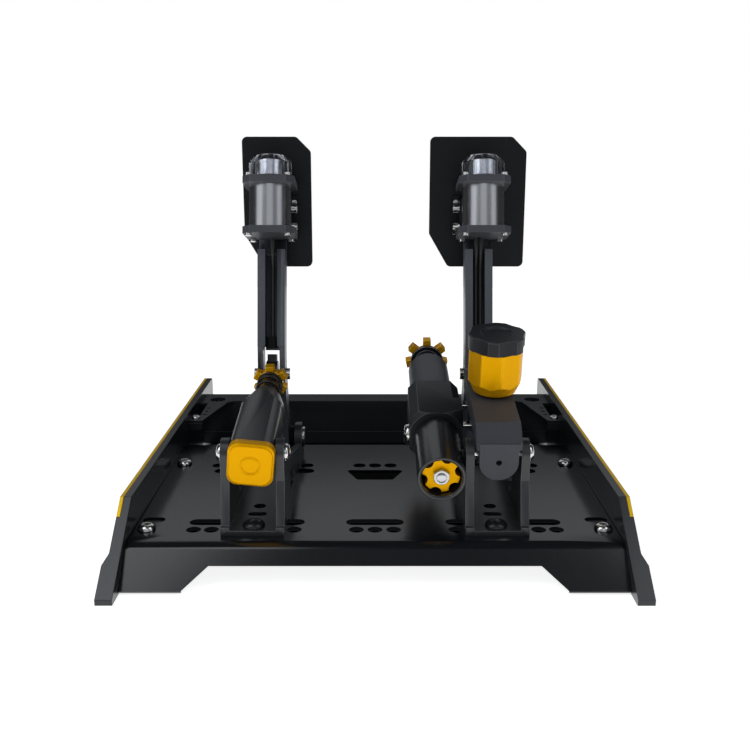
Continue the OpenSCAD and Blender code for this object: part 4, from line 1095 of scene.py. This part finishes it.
@dataclass
class PedalArm:
    """One pedal's arm, bushes, pad and screws."""

    pedal: str
    edge: float = 1.1 * MM
    pad_edge: float = 0.6 * MM
    screw_edge: float = 0.25 * MM
    pin_edge: float = 0.3 * MM

    def build(self) -> None:
        """Dresses the arm and what it carries."""
        soften(f"{self.pedal}_arm", ARM_FACE, ARM_EDGE_HIGHLIGHT, self.edge)
        soften(f"{self.pedal}_bushes", PLASTIC, PLASTIC, self.screw_edge)
        soften(f"{self.pedal}_pad", PAD_BLACK, POWDER_EDGE, self.pad_edge)
        soften(f"{self.pedal}_pad_bracket", PAD_BLACK, POWDER_EDGE, self.pad_edge)
        soften(f"{self.pedal}_screws", CHROME, CHROME, self.screw_edge)
        soften(f"{self.pedal}_rod_pin", CHROME, CHROME, self.pin_edge)


@dataclass
class HapticMotor:
    """One pedal's motor: can, clamps, clear cap, rotor and leads.

    cap_inner and cap_outer give the cap's wall. Each row is a radius against cap_r and a height against
    cap_foot, in millimetres, and a row of cap_outer has the share of the rib height there too. rib_half and
    rib_flank are the half width and the flank of a rib as angles. lead_route is a lead's centreline on the
    arm as (along, up) in millimetres, lead_places give the leads across it, and plug gives the plug's near
    face, far face, lower end, upper end and half width.
    """

    pedal: str
    can_edge: float = 0.6 * MM
    clamp_edge: float = 0.4 * MM
    motor_x: ClassVar[dict[str, float]] = {"throttle": 0.0, "brake": 3 * MM}
    motor_y: float = -21.9 * MM
    cap_foot: float = 175.7 * MM
    cap_r: float = 18.7 * MM
    cap_hub: float = 0.3
    cap_around: int = 288
    cap_inner: tuple = ((-7.4, 19.8), (-6.6, 19.4), (-2.4, 15.0), (-2.0, 14.2), (-2.0, 0.3))
    cap_outer: tuple = (
        (0.0, 0.0, 1.0), (0.0, 7.5, 1.0), (0.0, 14.2, 1.0), (-0.3, 15.2, 1.0),
        (-4.3, 20.1, 1.0), (-5.0, 20.5, 0.8), (-5.9, 20.6, 0.2),
    )
    ribs: int = 8
    rib_h: float = 0.95 * MM
    rib_half: float = 0.13
    rib_flank: float = 0.035
    rib_turn: ClassVar[dict[str, float]] = {"throttle": 0.16, "brake": 0.0}
    rotor_around: int = 144
    rotor_break: float = 0.5 * MM
    shaft_r: float = 2.5 * MM
    shaft_reach: tuple = (3 * MM, 0.8 * MM)
    winding_r: float = 13 * MM
    winding_span: tuple = (134.5 * MM, 164.2 * MM)
    weight_r: float = 13.7 * MM
    weight_flat: float = 4 * MM
    weight_span: tuple = (177.7 * MM, 192 * MM)
    lead_route: tuple = (
        (-12, 124.4), (-12, 118), (-11, 111), (-8, 104), (-6, 97), (-6, 88), (-6, 78), (-6, 68),
        (-6, 58), (-6, 46), (-6, 34),
    )
    lead_steps: int = 40
    lead_r: float = 1.8 * MM
    lead_places: ClassVar[dict[str, tuple]] = {"throttle": (1 * MM,), "brake": (-2.2 * MM, 2.2 * MM)}
    plug: tuple = (-9 * MM, 1.1 * MM, 24 * MM, 34 * MM, 4.5 * MM)
    plug_rings: int = 14
    plug_around: int = 40
    plug_power: float = 0.3
    plug_groove: float = 0.06

    def build(self) -> None:
        """Dresses the motor."""
        motor = f"{self.pedal}_motor"
        soften(f"{motor}_can", GUNMETAL, GUNMETAL, self.can_edge)
        soften(f"{motor}_clamps", BLACK_BLASTED, ANODISED_EDGE_HIGHLIGHT, self.clamp_edge)
        self.cap()
        self.rotor()
        self.leads()

    def upright(self, rows: Sequence[tuple], around: int) -> Skin:
        """Carries a profile round the motor's axis on the arm.

        Args:
            rows: the profile, as for turned.
            around: steps round the axis.

        Returns:
            The skin.
        """
        rings = turned(rows, around) + (self.motor_x[self.pedal], self.motor_y, 0.0)
        skin = Skin()
        skin.tube(ARM[self.pedal].at(rings[..., 0], rings[..., 1], rings[..., 2]))
        return skin

    def cap(self) -> None:
        """Moulds the clear cap as one closed skin: down the inside, round the rim and up the ribbed outside.

        The outside's radius is the wall's plus the rib height times a plateau round each rib that falls off
        as a smooth step; towards the top both follow the shoulder's slope.
        """
        spread = 2.0 * math.pi / self.ribs
        past = full_turn(self.cap_around) - self.rib_turn[self.pedal] + spread / 2
        off = np.abs(np.mod(past, spread) - spread / 2)
        edge = np.clip((self.rib_half + self.rib_flank - off) / self.rib_flank, 0.0, 1.0)
        rib = self.rib_h * edge * edge * (3.0 - 2.0 * edge)
        hub = self.cap_hub * self.cap_r
        rows = [(hub, self.cap_foot + self.cap_inner[0][1] * MM)]
        for wide, high in self.cap_inner:
            rows += [(self.cap_r + wide * MM, self.cap_foot + high * MM)]
        for wide, high, part in self.cap_outer:
            rows += [(self.cap_r + wide * MM + part * rib, self.cap_foot + high * MM)]
        rows += [(hub, self.cap_foot + self.cap_outer[-1][1] * MM)]
        node = f"{self.pedal}_motor_cap"
        skin = self.upright(rows, self.cap_around)
        skin.piece(f"{node}_moulded", CLEAR, body_of(node), Slot.CLEAR, node)

    def rotor(self) -> None:
        """Turns the rotor: shaft, winding drum in the can and, in the cap, a weight with a flat at its back.

        The weight's radius is the drum's, and behind the flat it is the flat's distance over the sine of
        the angle.
        """
        back = np.maximum(np.sin(full_turn(self.rotor_around)), SMALL)
        flat = np.minimum(self.weight_r, self.weight_flat / back)
        soft, shaft = self.rotor_break, self.shaft_r
        below, above = self.shaft_reach
        rows = [(shaft, self.winding_span[0] - below)]
        for radius, (low, high) in ((self.winding_r, self.winding_span), (flat, self.weight_span)):
            rows += [(shaft, low), (radius - soft, low), (radius, low + soft)]
            rows += [(radius, high - soft), (radius - soft, high), (shaft, high)]
        rows += [(shaft, self.weight_span[1] + above)]
        node = f"{self.pedal}_motor_rotor"
        skin = self.upright(rows, self.rotor_around)
        skin.piece(f"{node}_turned", STEEL, body_of(node), Slot.STEEL, node)

    def leads(self) -> None:
        """Lays the leads down the arm's channel into their plug.

        The plug's section is a superellipse, drawn in where a wave along its height is near zero.
        """
        arm = ARM[self.pedal]
        solid = f"{self.pedal}_motor_lead"
        body = body_of(solid)
        near, far, low, high, half = self.plug
        waves = np.abs(np.sin(np.linspace(0.0, 4.0 * math.pi, self.plug_rings)))
        swell = 1.0 - self.plug_groove * (waves[:, None] < 0.5)
        turn = full_turn(self.plug_around)
        section = np.stack((np.cos(turn), np.sin(turn)))
        wide, deep = np.sign(section) * np.abs(section) ** self.plug_power
        up = np.linspace(low, high, self.plug_rings)[:, None]
        skin = Skin()
        skin.tube(arm.at(swell * half * wide, 0.5 * (near + far) + swell * 0.5 * (far - near) * deep, up))
        skin.piece(f"{self.pedal}_lead_plug", PLASTIC, body, Slot.RUBBER, solid)
        route = through(np.array(self.lead_route) * MM, self.lead_steps)
        for number, across in enumerate(self.lead_places[self.pedal], 1):
            path = arm.at(across, route[:, 0], route[:, 1])
            skin = Skin()
            skin.tube(sweep(path, np.array(RIGHT), self.lead_r))
            lead = skin.piece(f"{self.pedal}_lead_{number}", RUBBER, body, Slot.RUBBER)


@dataclass
class ThrottleStrut:
    """Throttle's spring strut.

    spring gives the spring's two ends along the strut, closed the turns at each end that lie on each other,
    spring_blur the steps over which its pitch changes, and spring_keep, which is not used, the share of its
    length at full press. cap_edge and cap_groove give the end cap's section as (half width or radius, along)
    in millimetres, from the body round the edge to the middle of the face.
    """

    body_edge: float = 0.7 * MM
    rod_edge: float = 0.3 * MM
    knob_edge: float = 0.5 * MM
    spring: tuple = (92.15 * MM, 130.85 * MM)
    coil_r: float = 10.5 * MM
    wire_r: float = 1.3 * MM
    turns: float = 4.5
    closed: float = 0.8
    spring_steps: int = 260
    spring_blur: int = 10
    spring_keep: float = 0.496
    cap_turn: float = 6.0
    cap_corner: float = 8.4 * MM
    cap_around: int = 192
    cap_sharp: float = 50.0
    cap_edge: tuple = (
        (17.7, -13.0), (18.0, -13.3), (18.0, -19.8), (17.9, -20.3), (17.55, -20.62), (17.0, -20.78),
        (16.72, -20.95), (16.66, -21.35), (16.45, -21.75), (16.0, -21.96), (15.4, -22.0),
    )
    cap_groove: tuple = (
        (8.8, -22.0), (8.2, -21.97), (7.85, -21.82), (7.55, -21.62), (7.25, -21.52), (6.95, -21.55),
        (6.65, -21.7), (6.4, -21.87), (6.05, -21.98), (5.4, -22.0), (2.0, -22.0),
    )

    def build(self) -> None:
        """Dresses the strut."""
        soften("throttle_strut_body", BLACK_ANODISED, ANODISED_EDGE_HIGHLIGHT, self.body_edge)
        self.end_cap()
        soften("throttle_rod", BLACK_STEEL, BLACK_STEEL, self.rod_edge)
        soften("throttle_preload_knob", GOLD, GOLD_EDGE, self.knob_edge)
        self.coil()

    def end_cap(self) -> None:
        """Turns the end cap's section round: rounded squares up to the face's edge, circles within it."""
        turn = full_turn(self.cap_around)
        rows = [(soft_square(half * MM, self.cap_corner, turn), along * MM) for half, along in self.cap_edge]
        rows += [(radius * MM, along * MM) for radius, along in self.cap_groove]
        skin = Skin()
        skin.tube(STRUT["throttle"].lying(turned(rows, self.cap_around, -math.radians(self.cap_turn))))
        node = "throttle_end_cap"
        skin.piece("throttle_cap_turned", GOLD, body_of(node), Slot.GOLD, node, self.cap_sharp)

    def coil(self) -> None:
        """Winds the spring: a helix whose pitch is one wire at both ends and even between them."""
        near, far = self.spring[0] + self.wire_r, self.spring[1] - self.wire_r
        turn = np.linspace(0.0, self.turns, self.spring_steps)
        lift = self.closed * 2.0 * self.wire_r
        ends = (0.0, self.closed, self.turns - self.closed, self.turns)
        rise = np.interp(turn, ends, (near, near + lift, far - lift, far))
        window = 2 * self.spring_blur + 1
        rise = np.pad(rise, self.spring_blur, mode="edge")
        rise = np.convolve(rise, np.full(window, 1 / window), mode="valid")
        across, up = np.cos(2.0 * math.pi * turn), np.sin(2.0 * math.pi * turn)
        strut = STRUT["throttle"]
        path = strut.at(self.coil_r * across, rise, self.coil_r * up)
        side = strut.at(across, 0.0, up) - strut.at(0.0, 0.0, 0.0)
        skin = Skin()
        skin.tube(sweep(path, side, self.wire_r))
        node = "throttle_spring"
        wound = skin.piece("throttle_coil", BLACK_STEEL, body_of(node), Slot.BLACK_STEEL, node)
        strut.along()
        strut.at(0.0, self.spring[0], 0.0)
        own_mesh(wound)


@dataclass
class BrakeUnit:
    """Master cylinder with its reservoir and the slave cylinder beside it.

    stack gives the elastomers' two ends along the slave, disc_bulge and disc_gap their rims' bulge and the
    gaps between them, and stack_keep, which is not used, the share of their height at full press.
    side_bolt_place is the side bolt's seat, cross_bolts the Y and Z of the bolts between slave and master
    and cross_reach their ends.
    nut_chamfer and stud_dome give the lock nut's face and the stud's end as (share of the radius, along);
    nut_span is where the nut lies along the slave.
    """

    block_edge: float = 0.8 * MM
    fine_edge: float = 0.3 * MM
    ring_edge: float = 0.4 * MM
    knob_edge: float = 0.5 * MM
    cup_crease: float = 10.0
    stack: tuple = (15.6 * MM, 55.3 * MM)
    discs: int = 4
    disc_r: float = 12 * MM
    disc_bore: float = 4.3 * MM
    disc_bulge: float = 0.7 * MM
    disc_gap: float = 0.15 * MM
    disc_steps: int = 9
    disc_around: int = 56
    stack_keep: float = 0.895
    side_bolt: ButtonScrew = ButtonScrew(8.5 * MM, 4.5 * MM, 5 * MM, 8 * MM, 3.4 * MM)
    side_bolt_place: tuple = (29 * MM, -78.96 * MM, 84.17 * MM)
    cross_bolts: tuple = ((-89.17 * MM, 95.98 * MM), (-51.75 * MM, 102.59 * MM))
    cross_reach: tuple = (67 * MM, 82.8 * MM)
    cross_r: float = 3 * MM
    cross_around: int = 36
    stud_r: float = 4 * MM
    stud_far: float = 82 * MM
    stud_around: int = 96
    stud_sharp: float = 24.0
    nut_r: float = 6.8 * MM
    nut_span: tuple = (2.5 * MM, 5.9 * MM)
    nut_flat: float = 0.9 * MM
    nut_chamfer: tuple = ((0.97, 0.6 * MM), (0.92, 0.25 * MM), (0.86, 0.0))
    stud_dome: tuple = (
        (1.0, 1.7 * MM), (0.94, 1.25 * MM), (0.78, 0.92 * MM), (0.5, 0.7 * MM), (0.15, 0.6 * MM),
    )

    def build(self) -> None:
        """Dresses the brake unit."""
        soften("master_block", BLACK_BLASTED, ANODISED_EDGE_HIGHLIGHT, self.block_edge)
        soften("master_piston", BLACK_STEEL, BLACK_STEEL, self.fine_edge)
        soften("reservoir_cup", GOLD, GOLD_EDGE, self.fine_edge, crease=self.cup_crease)
        soften("reservoir_fitting", GOLD, GOLD_EDGE, self.fine_edge)
        # The cap's rounded edges take the lighter blasted finish as a painted highlight on its rim.
        soften("reservoir_cap", BLACK_SATIN, BLACK_BLASTED, self.ring_edge)
        soften("slave_block", BLACK_SATIN, ANODISED_EDGE_HIGHLIGHT, self.ring_edge)
        soften("slave_tube", BLACK_GLOSS, BLACK_GLOSS, self.block_edge)
        soften("slave_nose", BLACK_BLASTED, BLACK_BLASTED, self.block_edge)
        soften("slave_index_ring", BLACK_GLOSS, ANODISED_EDGE_HIGHLIGHT, self.ring_edge)
        for knob in ("slave_damping_knob", "slave_preload_knob"):
            soften(knob, GOLD, GOLD_EDGE, self.knob_edge)
        self.stud()
        carry_over("slave_piston", STEEL)
        soften("pressure_sensor", STEEL, STEEL, self.fine_edge)
        self.bolts()
        self.elastomers()

    def bolts(self) -> None:
        """Sets the slave's side bolt and the two bolts that tie slave and master."""
        skin = Skin()
        skin.tube(stand(self.side_bolt.rings(), self.side_bolt_place, (-1, 0, 0)))
        near, far = self.cross_reach
        rod = pin(self.cross_r, far - near, self.cross_around)
        for y, z in self.cross_bolts:
            skin.tube(stand(rod, (near, y, z), RIGHT))
        skin.piece("tie_bolts", CHROME, body_of("slave_bolts"), Slot.CHROME, "slave_bolts")

    def stud(self) -> None:
        """Turns the stud with its lock nut: a hexagon with a chamfered face, then the stud's domed end.

        The chamfer is the lesser of the hexagon's radius and a circle's at each angle.
        """
        nut = hexagon(self.nut_r, self.stud_around)
        near, far = self.nut_span
        rows = [(self.stud_r, self.stud_far), (self.stud_r, far), (nut, far), (nut, near + self.nut_flat)]
        rows += [(np.minimum(nut, share * self.nut_r), near + rise) for share, rise in self.nut_chamfer]
        rows += [(self.stud_r, near)]
        rows += [(share * self.stud_r, along) for share, along in self.stud_dome]
        skin = Skin()
        skin.tube(SLAVE.lying(turned(rows, self.stud_around, math.pi / 6)))
        node = "slave_stud"
        skin.piece("slave_stud_turned", STEEL, body_of(node), Slot.STEEL, node, self.stud_sharp)

    def elastomers(self) -> None:
        """Stacks bored discs: each is a closed ring whose rim bulges by a half sine of its height."""
        near, far = self.stack
        height = (far - near) / self.discs
        share = np.linspace(0.0, 1.0, self.disc_steps)
        rim = self.disc_r - self.disc_bulge * (1.0 - np.sin(math.pi * share))
        outline = [(self.disc_bore, self.disc_gap)]
        outline += list(zip(rim, self.disc_gap + share * (height - 2 * self.disc_gap)))
        outline += [(self.disc_bore, height - self.disc_gap)]
        disc = turned(outline, self.disc_around)
        skin = Skin()
        for number in range(self.discs):
            skin.loop(stand(disc, SLAVE.at(0.0, near + number * height, 0.0), SLAVE.along()))
        node = "elastomer_stack"
        stacked = skin.piece("elastomer_discs", ELASTOMER, body_of(node), Slot.ELASTOMER, node)
        SLAVE.along()
        SLAVE.at(0.0, near, 0.0)
        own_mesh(stacked)


# ---------------------------------------------------------------------------------------------------------
# Studio


@dataclass(frozen=True)
class Softbox:
    """A rectangular lamp that the camera doesn't see, with its brightness as a level, 1 for white."""

    name: str
    place: tuple[float, float, float]
    target: tuple[float, float, float]
    size: tuple[float, float]
    level: float

    def hang(self, tint: Rgb) -> None:
        """Hangs the lamp facing its target; its power is level times pi times its area.

        Args:
            tint: colour of the light.
        """
        data = bpy.data.lights.new(self.name, "AREA")
        data.shape = "RECTANGLE"
        data.size, data.size_y = self.size
        data.color = tint
        data.energy = self.level * math.pi * self.size[0] * self.size[1]
        hung = add_object(self.name, data)
        hung.location = self.place
        hung.visible_camera = False
        hung.rotation_euler = (Vector(self.target) - Vector(self.place)).to_track_quat("-Z", "Y").to_euler()


# Point that the side lamps face.
AIM = (0.0, -0.05, 0.10)


@dataclass
class Studio:
    """Camera at the photograph's place, a white floor, a white backdrop and soft lamps.

    shade gives the middle and half width, along X and along Y, of the floor below the base that gets painted
    shade, and shade_edge the width over which it ends. floor_level is the floor's glow near the base, dimmed
    there as a painted soft shadow, which rises to 1 over floor_far. floor_dark and floor_light are its
    colours in the painted shade and out of it.
    """

    eye: tuple[float, float, float] = (0.0, -0.852, 0.3275)
    pitch: float = 13.93
    lens: float = 45.6
    sensor: float = 36.0
    floor_span: float = 2.6
    floor_level: float = 0.85
    floor_far: tuple[float, float] = (0.1, 0.6)
    # floor_dark is the colour of the painted shade below the base.
    floor_dark: Rgb = (0.03, 0.03, 0.03)
    floor_light: Rgb = (0.80, 0.80, 0.80)
    shade: tuple = ((0.0, 180 * MM), (45 * MM, 165 * MM))
    shade_edge: float = 30 * MM
    room_front: float = 0.38
    room_back: float = 0.05
    light_tint: Rgb = (0.92, 0.96, 1.0)
    lamps: tuple[Softbox, ...] = (
        Softbox("rear_softbox", (-0.05, 1.5, 1.36), (-0.05, 0.0, 1.36), (2.2, 1.52), 0.5),
        Softbox("front_softbox", (0.0, -1.3, 1.0), (0.0, 0.0, 0.25), (0.9, 0.55), 0.55),
        Softbox("left_softbox", (-1.06, -0.58, 0.55), AIM, (0.70, 0.75), 0.95),
        Softbox("left_overhead", (-0.62, -0.52, 1.12), AIM, (0.65, 0.75), 2.3),
        Softbox("right_softbox", (1.10, -0.65, 0.52), AIM, (0.60, 0.75), 0.7),
        Softbox("right_overhead", (0.72, -0.48, 1.10), AIM, (0.55, 0.65), 1.7),
    )

    def build(self) -> None:
        """Sets up the camera, the floor, the world and the lamps."""
        self.camera()
        self.floor()
        self.world()
        for lamp in self.lamps:
            lamp.hang(self.light_tint)
        bpy.context.scene.view_settings.view_transform = "Standard"

    def camera(self) -> None:
        """Places the camera level, turned down by the pitch."""
        data = bpy.data.cameras.new("camera")
        data.lens = self.lens
        data.sensor_width = self.sensor
        data.clip_end = 50.0
        seen = add_object("camera", data)
        seen.location = self.eye
        seen.rotation_euler = (math.radians(90.0 - self.pitch), 0.0, 0.0)
        bpy.context.scene.camera = seen

    def floor(self) -> None:
        """Lays a wide white floor that glows evenly, but for painted shade below and around the base.

        The glow and the colour fall to dark across shade_edge, by the distance from the rectangle below the
        plate, as painted shade where the base's shadow falls. Near the base the glow is floor_level, a
        painted soft shadow, and it rises to 1 far away.
        """
        half = self.floor_span / 2
        low = float(CAD_BOX[0][2])
        corners = [(-half, -half, low), (half, -half, low), (half, half, low), (-half, half, low)]
        mesh = bpy.data.meshes.new("floor")
        mesh.from_pydata(corners, [], [(0, 1, 2, 3)])
        made, sheet = new_material("floor")
        place = sheet.add("ShaderNodeSeparateXYZ", {0: sheet.add("ShaderNodeTexCoord").outputs["Object"]})
        beyond = []
        for number, (middle, reach) in enumerate(self.shade):
            away = sheet.math("ABSOLUTE", sheet.math("SUBTRACT", place.outputs[number], middle))
            beyond.append(sheet.math("SUBTRACT", away, reach))
        away = sheet.math("MAXIMUM", *beyond)
        # Painted shade: below the plate the floor's colour and glow fall to dark.
        edge = {0: away, 1: 0.0, 2: self.shade_edge, 3: 0.0, 4: 1.0}
        out = sheet.add("ShaderNodeMapRange", edge, interpolation_type="SMOOTHSTEP").outputs[0]
        # Painted shade: near the base the glow stays at floor_level and rises to 1 far away.
        start, stop = self.floor_far
        rest = {0: away, 1: start, 2: stop, 3: 0.0, 4: 1.0 - self.floor_level}
        far = sheet.add("ShaderNodeMapRange", rest).outputs[0]
        lit = sheet.math("MULTIPLY_ADD", out, self.floor_level, far)
        tone = sheet.mix(out, self.floor_dark, self.floor_light)
        matte = sheet.add("ShaderNodeBsdfDiffuse", {"Color": tone})
        glow = sheet.add("ShaderNodeEmission", {"Color": (*WHITE, 1.0), "Strength": lit})
        sheet.close(sheet.add("ShaderNodeAddShader", {0: matte.outputs[0], 1: glow.outputs[0]}))
        mesh.materials.append(made)
        add_object("floor", mesh)

    def world(self) -> None:
        """A dim room, darkest behind the object, and plain white for what the camera sees.

        The level is room_front for light from behind the camera, falls evenly to the sides and is room_back
        past them.
        """
        made = bpy.data.worlds.new("studio")
        bpy.context.scene.world = made
        made.use_nodes = True
        sheet = Sheet(made.node_tree)
        toward = sheet.add("ShaderNodeSeparateXYZ", {0: sheet.add("ShaderNodeTexCoord").outputs["Generated"]})
        ahead = sheet.math("MULTIPLY", toward.outputs[1], -self.room_front)
        room = sheet.math("MAXIMUM", ahead, self.room_back)
        seen = sheet.add("ShaderNodeLightPath").outputs["Is Camera Ray"]
        level = sheet.math("MAXIMUM", seen, room)
        colour = sheet.mix(seen, self.light_tint, WHITE)
        back = sheet.add("ShaderNodeBackground", {"Color": colour, "Strength": level})
        sheet.close(back, "ShaderNodeOutputWorld")


def main() -> None:
    """Builds the pedal set and the studio."""
    logging.basicConfig(level=logging.INFO, format="%(message)s")
    Studio().build()
    BaseFrame().build()
    PedalBracket().build()
    for pedal in PEDAL_X:
        PedalArm(pedal).build()
        HapticMotor(pedal).build()
    ThrottleStrut().build()
    BrakeUnit().build()


if __name__ == "__main__":
    main()
